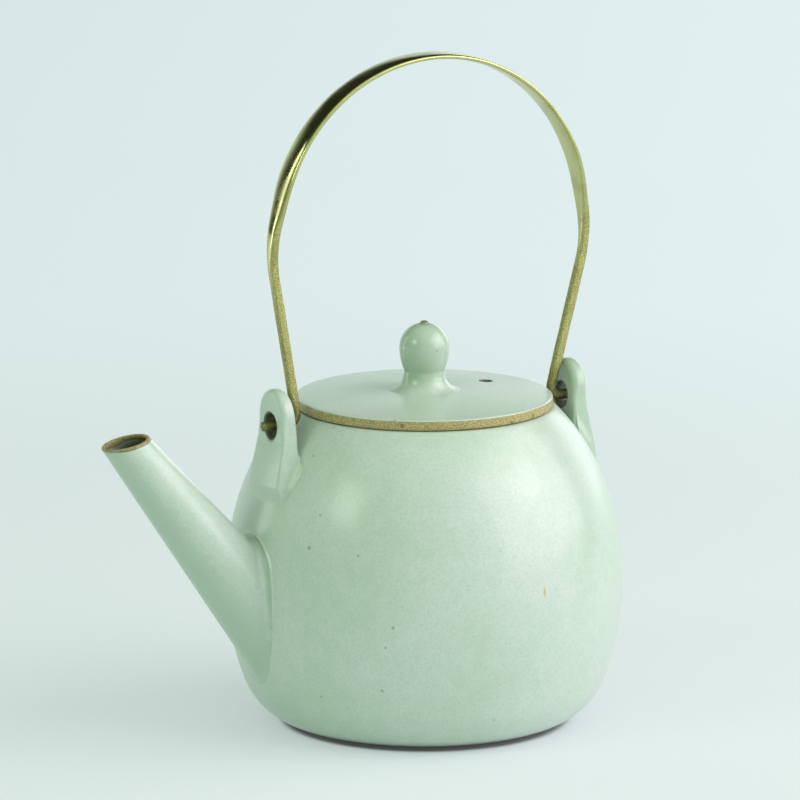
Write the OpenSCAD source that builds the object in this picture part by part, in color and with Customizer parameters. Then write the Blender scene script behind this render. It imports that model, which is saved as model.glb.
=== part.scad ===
// Stoneware teapot with a straight spout, a lift-off lid and a swinging brass bail.
// Millimetres. The pot stands on the plane z = 0 with its axis on Z and its spout towards -X.

/* [Pot] */
// Widest diameter of the pot
pot_d = 131; // [120:1:142]
// Radius of the curve from the foot up into the side
foot_round = 21.9; // [18:0.1:26]
// Radius of the side's curve
belly_round = 91.3; // [80:0.1:105]
// Radius of the shoulder's curve
shoulder_round = 66.1; // [60:0.1:74]
// Where the foot's curve runs into the side, in degrees below level
foot_turn = 20.4; // [16:0.2:24]
// Where the side's curve runs into the shoulder, in degrees above level
shoulder_turn = 24.5; // [20:0.5:28]
// Thickness of the thrown wall
wall_t = 4.5; // [3.5:0.25:5.5]
// Thickness of the floor
floor_t = 6; // [5.5:0.5:8]
// Diameter of the mouth
mouth_d = 68; // [62:1:72]
// Thickness of the rim where it leaves the wall
rim_t = 5; // [4:0.5:7]
// How much thinner the rim is at the mouth
rim_thin = 1.1; // [0:0.1:2]
// How far the rim stands out past the lid
rim_step = 0.5; // [0:0.1:2]

/* [Spout] */
// Distance of the spout's tip from the pot's axis
spout_reach = 109; // [100:1:120]
// How far the middle of the tip lies below the rim
tip_drop = 1.5; // [0:0.5:10]
// Slope of the spout, in degrees
spout_slope = 51.5; // [47:0.5:56]
// Outer diameter at the tip
tip_d = 14.4; // [12:0.2:17]
// Outer diameter where the spout's axis meets the pot
root_d = 25.4; // [22:0.2:28]
// Thickness of the spout's wall
spout_t = 2.2; // [1.8:0.1:3]
// Tilt of the lip, in degrees down towards the cup
lip_tilt = 10; // [0:1:20]
// Radius of the slip smoothed into the corner between the spout and the pot
spout_fillet = 4.2; // [2.5:0.1:5]
// Diameter of the hole through the pot's wall behind the spout
way_d = 14; // [12:0.5:16]

/* [Strainer] */
// Outer radius of the pierced dome behind the spout
dome_r = 14; // [12:0.5:15]
// Thickness of the dome
dome_t = 2.5; // [2:0.25:3]
// Diameter of each hole in the dome
pierce_d = 2.6; // [2:0.1:3]
// Angle between one ring of holes and the next
pierce_turn = 27; // [24:1:29]

/* [Ears] */
// Distance between the inner faces of the two ears
ear_span = 102.2; // [99:0.2:106]
// Thickness of each ear at its hole
ear_t = 5.4; // [4.5:0.1:7]
// Width of each ear at its hole
ear_w = 17.5; // [15:0.5:20]
// Width of each ear at its foot
ear_foot_w = 22.5; // [18:0.5:24]
// Height of the ear above the middle of its hole
ear_top = 12; // [10.5:0.5:14]
// Height of the ear below the middle of its hole
ear_foot = 26; // [22:1:30]
// How far the ear's outer face leans out at its foot
ear_lean = 5; // [3.5:0.1:6]
// How much thinner each ear is at its top than at its hole
ear_taper = 0.8; // [0:0.1:2]
// Rounding of the ears' edges
ear_edge = 1.4; // [0.6:0.1:2]
// Rounding of the two corners at each ear's foot
ear_corner = 4; // [2.5:0.25:6]
// How far each ear's foot sinks into the wall
ear_sunk = 2.4; // [1.6:0.1:3.4]
// Radius of the slip smoothed into the corner between the ears and the pot
ear_fillet = 3; // [1:0.1:4]
// How far the middle of the ears' holes lies below the rim
hole_drop = 1.3; // [0:0.1:2]
// Diameter of the ears' holes
hole_d = 8.2; // [6:0.2:9.6]

/* [Lid] */
// Diameter of the lid
lid_d = 84.2; // [80:0.2:88]
// Thickness of the lid's edge
lid_t = 3.5; // [2.5:0.25:5]
// Rise of the lid's top from its edge to the knob
lid_rise = 1.7; // [0.8:0.1:4]
// Rounding of the lid's edge
lid_round = 0.8; // [0.4:0.1:1.2]
// Clearance between the lid and the rim it rests on
seat_gap = 0.2; // [0.1:0.05:0.4]
// Clearance around the ring that drops into the mouth
flange_gap = 1; // [0.6:0.1:2]
// Thickness of that ring
flange_t = 3; // [2:0.25:4]
// Depth of that ring
flange_h = 9; // [6:0.5:12]
// Depth of the hollow under the lid inside that ring
lid_hollow = 0.4; // [0.2:0.1:1]
// Diameter of the steam hole at the top
vent_d = 4.8; // [3:0.2:6]
// Diameter that the pierced steam hole narrows to below
vent_low_d = 2.8; // [2:0.2:3]
// Clay left between the steam hole and the ring
vent_edge = 2.2; // [1:0.2:6]
// Turn of the steam hole away from the rear ear, in degrees
vent_turn = 9; // [0:1:45]

/* [Knob] */
// Diameter of the knob's egg-shaped ball
ball_d = 16.4; // [14:0.1:19]
// Height of the ball's widest place over the lid
ball_h = 14; // [13:0.25:16]
// Half axis of the ball's longer lower part
ball_drop = 12.6; // [10:0.2:14]
// Diameter of the neck under the ball
neck_d = 13.2; // [10:0.2:13.4]
// Diameter of the flared foot
flare_d = 23; // [18:0.5:28]
// Thickness of the flared foot's edge
flare_edge = 0.5; // [0.3:0.1:1]
// Diameter of the small tip on the ball
nib_d = 2.6; // [2:0.1:4]
// Diameter at which that tip runs out into the ball
nib_foot_d = 5.2; // [4.4:0.2:7]
// Height of the small tip over the ball
nib_h = 0.9; // [0.5:0.1:2]

/* [Bail] */
// Radius of the arch's middle line
arch_r = 56.2; // [52:0.2:60]
// Height of the arch's centre over the hinge
arch_h = 60.6; // [54:0.2:68]
// How far above level the arch ends, in degrees
arch_turn = 12; // [6:1:16]
// Length of the straight run from the arch to the elbow's corner
arch_run = 17.2; // [14:0.2:20]
// Lean of the hand-bent arch towards the rear ear, in degrees
arch_lean = 2.2; // [0:0.1:3]
// Radius of the elbows
elbow_round = 26; // [12:1:28]
// Radius of the bend into each turned-out end
end_round = 3; // [2:0.25:3.5]
// Clearance between the rear leg and the ear that it swings past
leg_clear = 0.5; // [0.3:0.1:2]
// Width of the forged grip
grip_w = 10; // [8:0.5:13]
// Thickness of the forged grip
grip_t = 2; // [1.4:0.1:2.6]
// Width of the legs
leg_w = 2.8; // [2.2:0.1:3.4]
// Thickness of the legs, measured across the pot
leg_t = 3.2; // [2.4:0.1:3.6]
// Height over the hinge at which the round ends have become squared legs
square_high = 13; // [8:1:20]
// Height over the hinge at which the legs begin to widen
taper_low = 46; // [40:1:54]
// Height over the hinge at which the grip has its full width
taper_high = 84; // [74:1:92]
// Diameter of the turned-out ends
pin_d = 3.2; // [2.6:0.1:3.8]
// How far the ends stand out past the ears
pin_out = 3.5; // [2:0.25:5]

/* [Hidden] */
$fn = 96;

glaze = [0.80, 0.86, 0.80];
brass = [0.72, 0.60, 0.24];

// Length that a cut runs past the solid it cuts
past = 1;
// Degrees of curve in one step of a profile
curve_step = 4;
// Steps from the edge of the lid to its knob
lid_steps = 8;
// Root widths that the spout is drawn on into the pot before it is cut to the wall
sunk_widths = 1.3;
// Steps in each round of the bail, in each of its straight runs and in its arch
bend_steps = 7;
run_steps = 5;
arch_steps = 44;
// Length that each round end runs back into its bend
pin_sunk = 0.8;
// Points in each rounded corner of the bail's section
corner_steps = 3;
// Share of the leg's thinner side taken up by one rounded edge
edge_share = 0.3;
// Lines round the spout, and steps in the slip at its root
spout_lines = 64;
slip_steps = 6;
// Halvings that find where a line of the spout meets the wall
halvings = 24;
// Shortest and longest reach of the slip along the spout, as shares of its radius
slip_reach = [0.6, 2];
// How deep all slip runs on under the wall, so that it meets the wall at an angle
slip_sunk = 1.2;
slip_lift = 0.4;
// Largest share of an ear's height over the wall that the slip beside it takes up
slip_share = 0.75;
// Steps in an ear's half round top, along its side, in its corners and edges, and through its thickness
ear_steps = [10, 9, 4, 3, 7];
// Rings on an ear's faces, as shares of the way from the hole's middle to the edge
face_rings = [0.3, 0.5, 0.7, 0.85];
// Share of an ear's foot over which it sinks into the wall, and its curve there against the wall's own
sinking = 0.2;
foot_curve = 1;

// Points on an arc about c from angle a to angle b.
function arc(c, r, a, b) =
    let (n = max(2, ceil(abs(b - a) / curve_step)))
    [for (i = [0:n]) let (t = a + (b - a) * i / n) c + r * [cos(t), sin(t)]];

// Points on a quarter of an ellipse about c, with half axes h, from angle a to angle b.
function quarter(c, h, a, b) =
    let (n = ceil(abs(b - a) / curve_step / 2))
    [for (i = [0:n]) let (t = a + (b - a) * i / n) c + [h[0] * cos(t), h[1] * sin(t)]];

// Even blend from 0 at a to 1 at b.
function blend(x, a, b) =
    let (t = min(1, max(0, (x - a) / (b - a))))
    t * t * (3 - 2 * t);

function mix(a, b, t) = a + (b - a) * t;
function unit(v) = v / norm(v);
function line_points(p, q, n) = [for (i = [1:n - 1]) mix(p, q, i / n)];
function reversed(list) = [for (i = [len(list) - 1:-1:0]) list[i]];

// The pot's side is three arcs that run into each other: foot, belly and shoulder.
foot_r = pot_d / 2 - belly_round + (belly_round - foot_round) * cos(foot_turn);
foot_c = [foot_r, foot_round];
belly_c = foot_c - (belly_round - foot_round) * [cos(foot_turn), -sin(foot_turn)];
shoulder_c = belly_c + (belly_round - shoulder_round) * [cos(shoulder_turn), sin(shoulder_turn)];
rim_r = lid_d / 2 + rim_step;
rim_turn = acos((rim_r - shoulder_c[0]) / shoulder_round);
rim_z = shoulder_c[1] + shoulder_round * sin(rim_turn);
mouth_r = mouth_d / 2;

inner_floor_turn = asin((floor_t - foot_round) / (foot_round - wall_t));
inner_rim_turn = asin((rim_z - rim_t - shoulder_c[1]) / (shoulder_round - wall_t));

// The wall's profile from the foot to the rim, moved inwards by depth.
function side(depth, a, b) = concat(
    arc(foot_c, foot_round - depth, a, -foot_turn),
    arc(belly_c, belly_round - depth, -foot_turn, shoulder_turn),
    arc(shoulder_c, shoulder_round - depth, shoulder_turn, b));

outer_side = side(0, -90, rim_turn);
inner_side = side(wall_t, inner_floor_turn, inner_rim_turn);

// The arc of the pot's side next to a place q = [r, z]: [centre, radius].
function wall_arc(q) =
    let (t = atan2(q[1] - belly_c[1], q[0] - belly_c[0]))
    t < -foot_turn ? [foot_c, foot_round] :
    t > shoulder_turn ? [shoulder_c, shoulder_round] : [belly_c, belly_round];

// Distance of a point from the pot's outside, and the way straight out from the wall there.
function off_wall(p) =
    let (q = [norm([p[0], p[1]]), p[2]], side_arc = wall_arc(q))
    norm(q - side_arc[0]) - side_arc[1];
function wall_out(p) =
    let (q = [norm([p[0], p[1]]), p[2]], n = unit(q - wall_arc(q)[0]))
    [n[0] * p[0] / q[0], n[0] * p[1] / q[0], n[1]];

// How far out the wall lies at height z and at y beside the X axis, above the foot's curve.
function wall_x(y, z) =
    let (high = z > belly_c[1] + belly_round * sin(shoulder_turn))
    let (c = high ? shoulder_c : belly_c, round_r = high ? shoulder_round : belly_round)
    let (r = c[0] + sqrt(pow(round_r, 2) - pow(z - c[1], 2)))
    sqrt(r * r - y * y);

// The part of direction v that runs along the wall whose outward way is n.
function along_wall(v, n) = v - (v * n) * n;

// Spout: distances along its axis are counted from the middle of the tip.
tip_at = [-spout_reach, 0, rim_z - tip_drop];
root_s = (spout_reach - pot_d / 2) / cos(spout_slope);
spout_s = root_s + sunk_widths * root_d;
spout_taper = (root_d - tip_d) / 2 / root_s;
spout_axis = [cos(spout_slope), 0, -sin(spout_slope)];
spout_upper = [sin(spout_slope), 0, cos(spout_slope)];
function spout_spoke(t) = cos(t) * spout_upper + [0, sin(t), 0];
function on_spout(s, t) = tip_at + s * spout_axis + (tip_d / 2 + spout_taper * s) * spout_spoke(t);

// Where the spout's line at angle t meets the wall, between two places on it, found by halving.
function meets_wall(t, near, far, times) =
    let (s = (near + far) / 2)
    times == 0 ? s :
    off_wall(on_spout(s, t)) < 0 ? meets_wall(t, near, s, times - 1) : meets_wall(t, s, far, times - 1);

// One line of the spout: from before the lip straight to the slip, and along the slip under the wall.
function spout_line(t) =
    let (s = meets_wall(t, root_s / 2, spout_s, halvings), p = on_spout(s, t), out = wall_out(p))
    let (up = unit(on_spout(s - 1, t) - p), off = unit(along_wall(spout_spoke(t), out)))
    let (reach = spout_fillet / tan(acos(up * off) / 2))
    let (slip = spout_fillet * min(slip_reach[1], max(slip_reach[0], reach / spout_fillet)))
    let (a = p + slip * up, flat = p + slip * off)
    let (b = flat - (off_wall(flat) + slip_sunk) * wall_out(flat))
    concat([on_spout(-tip_d, t)],
           [for (i = [0:slip_steps])
               let (u = i / slip_steps) (1 - u) * (1 - u) * a + 2 * u * (1 - u) * p + u * u * b],
           [p - 2 * wall_t * out]);

dome_x = -(pot_d / 2 - wall_t);
dome_z = tip_at[2] - (spout_reach + dome_x) * tan(spout_slope);

// Ears and the hinge line through their holes.
hinge_z = rim_z - hole_drop;
ear_in = ear_span / 2;
ear_out = ear_in + ear_t;

// An ear's faces at y and at height z over the hole, and where its side ends at the wall or the inner edge.
// Towards its foot the outer face takes on the wall's curve.
function ear_outer(y, z) =
    let (low = max(0, -z - hole_d / 2) / (ear_foot - hole_d / 2))
    ear_out + ear_lean * low - foot_curve * low * y * y / (2 * ear_out)
        - ear_sunk * blend(-z, ear_foot * (1 - sinking), ear_foot);
function ear_inner(z) = ear_in + ear_taper * max(0, z) / ear_top;
function ear_side_end(y, z) = max(ear_inner(z) + ear_edge, wall_x(y, hinge_z + min(z, -hole_drop)) - slip_sunk);

// An ear widens evenly from its hole down to its foot.
function tab_y(y, z) = y * mix(1, ear_foot_w / ear_w, max(0, -z) / ear_foot);

// Half of an ear's outline from its top to its foot, drawn in by inset: places [y, z] and outward ways.
function half_tab(inset) =
    let (r = ear_w / 2 - inset, round_z = ear_top - ear_w / 2, k = ear_corner - inset)
    let (low_z = ear_corner - ear_foot, low_y = ear_corner - ear_w / 2)
    concat([for (i = [0:ear_steps[0]])
               let (t = 90 + 90 * i / ear_steps[0], n = [cos(t), sin(t)]) [[0, round_z] + r * n, n]],
           [for (z = line_points(round_z, low_z, ear_steps[1])) [[-r, z], [-1, 0]]],
           [for (i = [0:ear_steps[2]])
               let (t = 180 + 90 * i / ear_steps[2], n = [cos(t), sin(t)]) [[low_y, low_z] + k * n, n]],
           [[[0, low_z - k], [0, -1]]]);
function tab(inset) =
    let (half = half_tab(inset))
    concat(half, [for (i = [len(half) - 2:-1:1]) [for (v = half[i]) [-v[0], v[1]]]]);

// One ring of an ear: share of the way out from the hole, inset from the outline, place from the outer
// face (0) over the side's end (1) to the inner face (2), and depth under that face. Near the wall the
// ring widens into the slip.
function ear_ring(share, inset, place, depth) =
    [for (v = tab(inset))
        let (z = share * v[0][1], y = tab_y(share * v[0][0], z), face = ear_outer(y, z))
        let (x = place > 1 ? ear_inner(z) + depth : mix(face - depth, ear_side_end(y, z), place))
        let (p = [x, y, hinge_z + z], high = off_wall([face, y, hinge_z + z]))
        let (fillet = min(ear_fillet, max(slip_lift, slip_share * high)))
        let (close = min(fillet, max(0, fillet - slip_lift - off_wall(p))))
        let (swell = fillet - sqrt(fillet * fillet - close * close))
        p + (1 - inset / ear_edge) * swell * along_wall([0, v[1][0], v[1][1]], wall_out(p))];

edge_turns = [for (i = [0:ear_steps[3]]) 90 * i / ear_steps[3]];
ear_rings = concat(
    [for (share = face_rings) ear_ring(share, ear_edge, 0, 0)],
    [for (t = edge_turns) ear_ring(1, ear_edge * (1 - sin(t)), 0, ear_edge * (1 - cos(t)))],
    [for (i = [1:ear_steps[4] - 1]) ear_ring(1, 0, i / ear_steps[4], ear_edge)],
    [for (t = reversed(edge_turns)) ear_ring(1, ear_edge * (1 - sin(t)), 2, ear_edge * (1 - cos(t)))],
    [for (share = reversed(face_rings)) ear_ring(share, ear_edge, 2, 0)]);

// Lid: heights over its underside.
lid_z = rim_z + seat_gap;
lid_r = lid_d / 2;
flange_r = mouth_r - flange_gap;
vent_r = flange_r - flange_t - vent_edge - vent_d / 2;
knob_seat_r = flare_d / 2;
lid_top = lid_t + lid_rise;

// Bail: places in its own plane, x across the pot and y up from the hinge.
function lean(p) = [p[0] * cos(arch_lean) + p[1] * sin(arch_lean),
                    p[1] * cos(arch_lean) - p[0] * sin(arch_lean)];
arch_end = [arch_r * cos(arch_turn), arch_h + arch_r * sin(arch_turn)];
elbow = arch_end + arch_run * [sin(arch_turn), -cos(arch_turn)];
rear_knee = lean(elbow);

// Where a leg starts at the hinge so that, at height h on it, it clears a face at face_x.
function leg_start(h, face_x) =
    let (share = h / rear_knee[1], pass_x = face_x - leg_clear - max(leg_t, pin_d) / 2)
    (pass_x - rear_knee[0] * share) / (1 - share);

// The upright leg passes the ear's top, and the swung one the ear's sides.
leg_x = min(leg_start(ear_top, ear_in + ear_taper), leg_start(ear_w / 2, ear_in));

// Points of the round of radius r that replaces corner v between p and q.
function round_corner(p, v, q, r) =
    let (u = unit(p - v), w = unit(q - v), half = acos(u * w) / 2)
    let (c = v + unit(u + w) * r / sin(half))
    let (a = v + u * r / tan(half) - c, b = v + w * r / tan(half) - c)
    let (turn = 180 - 2 * half, way = sign(a[0] * b[1] - a[1] * b[0]))
    let (from = atan2(a[1], a[0]))
    [for (i = [0:bend_steps])
        let (t = from + way * turn * i / bend_steps) c + r * [cos(t), sin(t)]];

// One leg from its turned-out end up to the arch; way is -1 by the spout and 1 at the rear.
function leg_path(way) =
    let (corner = [way * leg_x, 0], knee = lean([way * elbow[0], elbow[1]]))
    let (top = lean([way * arch_end[0], arch_end[1]]))
    let (low = round_corner([way * (leg_x + ear_t), 0], corner, knee, end_round))
    let (high = round_corner(corner, knee, top, elbow_round))
    concat(low, line_points(low[bend_steps], high[0], run_steps), high,
           line_points(high[bend_steps], top, run_steps));

arch_path = [for (i = [0:arch_steps])
    let (t = 180 - arch_turn - (180 - 2 * arch_turn) * i / arch_steps)
    lean([0, arch_h] + arch_r * [cos(t), sin(t)])];
bail_path = concat(leg_path(-1), arch_path, reversed(leg_path(1)));
bail_last = len(bail_path) - 1;

// The forged section at height h over the hinge: [width, thickness, radius of its edges].
function forged(h) =
    let (wide = blend(h, taper_low, taper_high), square = blend(h, pin_d / 2, square_high))
    let (w = mix(leg_w, grip_w, wide), t = mix(leg_t, grip_t, wide))
    [mix(pin_d, w, square), mix(pin_d, t, square), mix(pin_d / 2, edge_share * min(w, t), square)];

// Corner points of a rectangle with rounded edges, as [along its thickness, along its width].
function section(size) =
    let (hw = size[0] / 2 - size[2], ht = size[1] / 2 - size[2])
    [for (k = [0:3]) for (i = [0:corner_steps])
        let (t = 90 * k + 90 * i / corner_steps)
        [ht * sign(cos(90 * k + 45)), hw * sign(sin(90 * k + 45))] + size[2] * [cos(t), sin(t)]];

// One ring of the bail, square to the path at its point i.
function bail_ring(i) =
    let (p = bail_path[i])
    let (d = unit(bail_path[min(i + 1, bail_last)] - bail_path[max(i - 1, 0)]))
    [for (s = section(forged(p[1])))
        [p[0] - d[1] * s[0], s[1], hinge_z + p[1] + d[0] * s[0]]];

// A solid skin over closed rings of as many points each, with its two ends closed onto a point.
module loft(rings, first, last) {
    n = len(rings[0]);
    end = (len(rings) - 1) * n;
    points = concat([for (ring = rings) each ring], [first, last]);
    skin = [for (i = [0:len(rings) - 2]) for (k = [0:n - 1])
        let (a = i * n + k, b = i * n + (k + 1) % n)
        each [[a, b, b + n], [a, b + n, a + n]]];
    ends = [for (k = [0:n - 1])
        let (next = (k + 1) % n)
        each [[end + n, next, k], [end + n + 1, end + k, end + next]]];
    polyhedron(points = points, faces = concat(skin, ends));
}

// The pot's outside as a filled solid, for fitting what is luted onto it.
module pot_outside() {
    rotate_extrude()
        polygon(concat([[0, 0]], outer_side, [[0, rim_z]]));
}

// The space inside the pot, for fitting what is luted into it.
module pot_inside() {
    rotate_extrude()
        polygon(concat([[0, floor_t]], inner_side, [[0, rim_z - rim_t]]));
}

// Puts its children on the spout's axis, with z along the axis from the tip towards the pot.
module on_spout_axis() {
    translate(tip_at)
        rotate([0, 90 + spout_slope, 0])
            children();
}

// Thrown body: foot, wall and a thick level rim for the lid, with the way out to the spout.
module pot_body() {
    rim_inside = [mouth_r, rim_z - rim_t + rim_thin];
    color(glaze)
    difference() {
        rotate_extrude()
            polygon(concat([[0, 0]], outer_side, [[mouth_r, rim_z], rim_inside],
                           reversed(inner_side), [[0, floor_t]]));
        on_spout_axis()
            translate([0, 0, root_s - way_d / 2])
                cylinder(d = way_d, h = 2 * way_d + wall_t);
    }
}

// Straight tapered spout, luted to the pot's wall with slip and open from the lip to the wall.
module spout() {
    lines = [for (k = [0:spout_lines - 1]) spout_line(360 * k / spout_lines)];
    bore_d = tip_d - 2 * spout_t;
    color(glaze)
    difference() {
        loft([for (i = [0:len(lines[0]) - 1]) [for (line = lines) line[i]]],
             tip_at - tip_d * spout_axis, tip_at + spout_s * spout_axis);
        on_spout_axis()
            translate([0, 0, -tip_d - past])
                cylinder(r1 = bore_d / 2 - spout_taper * (tip_d + past),
                         r2 = bore_d / 2 + spout_taper * (spout_s + past), h = tip_d + spout_s + 2 * past);
        translate(tip_at)
            rotate([0, -lip_tilt, 0])
                translate([-2 * tip_d, -tip_d, 0])
                    cube([4 * tip_d, 2 * tip_d, 2 * tip_d]);
        pot_outside();
    }
}

// Pierced dome luted inside the wall over the way to the spout.
module spout_strainer() {
    color(glaze)
    intersection() {
        translate([dome_x, 0, dome_z])
            difference() {
                sphere(r = dome_r);
                sphere(r = dome_r - dome_t);
                for (ring = [0:2])
                    for (i = [0:max(1, 6 * ring) - 1])
                        rotate([60 * i / max(1, ring), 0, 0])
                            rotate([0, 90 - pierce_turn * ring, 0])
                                translate([0, 0, dome_r - 2 * dome_t])
                                    cylinder(d = pierce_d, h = 3 * dome_t);
            }
        pot_inside();
    }
}

// An ear luted onto the shoulder, drawn on the +X side: a round-topped tab that runs down into the wall.
module ear() {
    color(glaze)
    difference() {
        loft(ear_rings, [ear_out, 0, hinge_z], [ear_in, 0, hinge_z]);
        translate([ear_in - past, 0, hinge_z])
            rotate([0, 90, 0])
                cylinder(d = hole_d, h = ear_t + ear_lean + 2 * past);
        pot_outside();
    }
}

module spout_side_ear() {
    mirror([1, 0, 0])
        ear();
}

module rear_ear() {
    ear();
}

// Nearly flat lid with a ring below that keeps it in the mouth, and a steam hole.
module lid() {
    edge = [lid_r - lid_round, lid_t - lid_round];
    color(glaze)
    translate([0, 0, lid_z])
        difference() {
            rotate_extrude()
                polygon(concat([[0, lid_hollow], [flange_r - flange_t, lid_hollow],
                                [flange_r - flange_t, -flange_h], [flange_r, -flange_h],
                                [flange_r, 0], [lid_r, 0]],
                               arc(edge, lid_round, 0, 90),
                               [for (i = [1:lid_steps])
                                   let (t = i / lid_steps, r = mix(edge[0], knob_seat_r, t))
                                   [r, lid_t + lid_rise * (1 - pow(1 - t, 2))]],
                               [[0, lid_top]]));
            rotate([0, 0, vent_turn])
                translate([vent_r, 0, 0])
                    cylinder(d1 = vent_low_d, d2 = vent_d, h = lid_top);
        }
}

// Knob thrown as a flared foot, a short neck and an egg-shaped ball with a small tip.
module lid_knob() {
    ball_r = ball_d / 2;
    neck_r = neck_d / 2;
    nib_r = nib_d / 2;
    nib_foot = nib_foot_d / 2;
    neck_turn = -acos(neck_r / ball_r);
    neck_h = ball_h + ball_drop * sin(neck_turn);
    nib_turn = acos(nib_foot / ball_r);
    nib_low = ball_h + ball_r * sin(nib_turn);
    nib_top = ball_h + ball_r + nib_h;
    nib_mid = (nib_low + nib_top) / 2;
    color(glaze)
    translate([0, 0, lid_z + lid_top])
        rotate_extrude()
            polygon(concat([[0, 0], [flare_d / 2, 0]],
                           quarter([flare_d / 2, neck_h],
                                   [flare_d / 2 - neck_r, neck_h - flare_edge], 270, 180),
                           quarter([0, ball_h], [ball_r, ball_drop], neck_turn, 0),
                           arc([0, ball_h], ball_r, 0, nib_turn),
                           quarter([nib_foot, nib_mid],
                                   [nib_foot - nib_r, nib_mid - nib_low], 270, 180),
                           quarter([0, nib_mid], [nib_r, nib_top - nib_mid], 0, 90)));
}

// Bail forged from one rod: flat grip, squared legs and round ends turned out through the ears.
module bail_handle() {
    first = bail_path[0];
    last = bail_path[bail_last];
    pin_from = last[0] - pin_sunk;
    color(brass) {
        loft([for (i = [0:bail_last]) bail_ring(i)],
             [first[0], 0, hinge_z + first[1]], [last[0], 0, hinge_z + last[1]]);
        for (way = [-1, 1])
            translate([way * pin_from, 0, hinge_z])
                rotate([0, way * 90, 0])
                    cylinder(d = pin_d, h = ear_out + pin_out - pin_from);
    }
}

pot_body();
spout();
spout_strainer();
spout_side_ear();
rear_ear();
lid();
lid_knob();
bail_handle();
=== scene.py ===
# %% [markdown]
# # A celadon teapot with a brass bail
#
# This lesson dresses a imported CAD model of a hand-thrown teapot for one studio picture. The CAD model
# stays the frame: it says where every piece is and how it moves. Each visible surface is made again here
# with numpy as a grid of points, so that clay can run softly from one piece into the next and brass can
# carry the marks of the hammer.
#
# Lengths are written in millimetres and turned into metres when a mesh is made. The pot's axis is Z, its
# spout points along -X, and the bail hinges on a line along X.

# %% Load the frame
import bmesh
import bpy
import numpy as np
from mathutils import Matrix, Vector


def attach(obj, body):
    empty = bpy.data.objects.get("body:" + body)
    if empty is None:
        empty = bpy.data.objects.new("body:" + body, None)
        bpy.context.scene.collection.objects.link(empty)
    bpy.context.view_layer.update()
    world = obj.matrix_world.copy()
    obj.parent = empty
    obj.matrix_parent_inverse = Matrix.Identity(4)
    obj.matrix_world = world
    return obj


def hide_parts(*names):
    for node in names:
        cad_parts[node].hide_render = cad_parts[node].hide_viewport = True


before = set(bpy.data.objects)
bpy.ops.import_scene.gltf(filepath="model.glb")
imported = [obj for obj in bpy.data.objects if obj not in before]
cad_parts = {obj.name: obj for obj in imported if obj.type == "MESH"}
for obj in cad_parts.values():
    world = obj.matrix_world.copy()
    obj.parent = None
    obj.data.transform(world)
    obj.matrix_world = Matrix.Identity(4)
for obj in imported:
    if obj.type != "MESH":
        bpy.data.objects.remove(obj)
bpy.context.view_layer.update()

print("frame:", ", ".join(sorted(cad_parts)))

# %% [markdown]
# ## Sizes
#
# These are the driving sizes of the CAD model. The pot's side is three arcs that run into each other, so
# three centres and three radii are all that is needed to find any point of its wall.

# %% Sizes of the thrown pot
MM = 0.001
POT_R = 65.5
FOOT_ROUND, BELLY_ROUND, SHOULDER_ROUND = 21.9, 91.3, 66.1
FOOT_TURN, SHOULDER_TURN = 20.4, 24.5
WALL_T, FLOOR_T = 4.5, 6.0
MOUTH_R, RIM_T, RIM_THIN = 34.0, 5.0, 1.1
LID_R, LID_INSET, LID_GAP, HINGE_DROP = 42.1, 0.5, 0.2, 1.3
RIM_R = LID_R + LID_INSET


def facing(degrees):
    """The unit vector at an angle: (cos a, sin a)."""
    angle = np.radians(degrees)
    return np.array([np.cos(angle), np.sin(angle)])


FOOT_R = POT_R - BELLY_ROUND + (BELLY_ROUND - FOOT_ROUND) * facing(FOOT_TURN)[0]
FOOT_C = np.array([FOOT_R, FOOT_ROUND])
BELLY_C = FOOT_C - (BELLY_ROUND - FOOT_ROUND) * facing(-FOOT_TURN)
SHOULDER_C = BELLY_C + (BELLY_ROUND - SHOULDER_ROUND) * facing(SHOULDER_TURN)
RIM_TURN = np.degrees(np.arccos((RIM_R - SHOULDER_C[0]) / SHOULDER_ROUND))
RIM_Z = SHOULDER_C[1] + SHOULDER_ROUND * facing(RIM_TURN)[1]
HINGE_Z = RIM_Z - HINGE_DROP
LID_Z = RIM_Z + LID_GAP
print(f"rim at {RIM_Z:.2f} mm, hinge line at {HINGE_Z:.2f} mm")

# %% [markdown]
# ## Tools for surfaces
#
# Every new piece is one grid of points: rows run along the piece and columns go round it. The columns
# always close on themselves, the rows close where the piece is a ring, and a row that shrinks to one point
# makes a pole. A profile is built from arcs and soft corners, then evened out so that the quads stay
# about as long as they are wide.

# %% Lines and profiles
def ease(x, low, high):
    """An even blend from 0 at low to 1 at high: 3t^2 - 2t^3."""
    t = np.clip((x - low) / (high - low), 0, 1)
    return t * t * (3 - 2 * t)


def hump(x, middle, width):
    """A smooth hump of height 1: e to the power of -((x - middle) / width)^2."""
    return np.exp(-((x - middle) / width) ** 2)


def unit(vectors):
    """Vectors divided by their lengths."""
    return vectors / np.linalg.norm(vectors, axis=-1, keepdims=True)


def arc(centre, half_axes, start, end, count=24):
    """Points on an ellipse: the centre plus (a cos t, b sin t), for t from start to end in degrees."""
    t = np.radians(np.linspace(start, end, count))
    a, b = np.broadcast_to(half_axes, 2)
    return np.stack([centre[0] + a * np.cos(t), centre[1] + b * np.sin(t)], axis=-1)


def corner(p, q, r, reach, count=6):
    """A soft corner at q between p and r: the quadratic curve that leaves q's two sides at a given reach."""
    p, q, r = (np.asarray(v, float) for v in (p, q, r))
    a = q + (p - q) / np.linalg.norm(p - q) * reach
    b = q + (r - q) / np.linalg.norm(r - q) * reach
    t = np.linspace(0, 1, count)[:, None]
    return (1 - t) ** 2 * a + 2 * t * (1 - t) * q + t ** 2 * b


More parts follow.
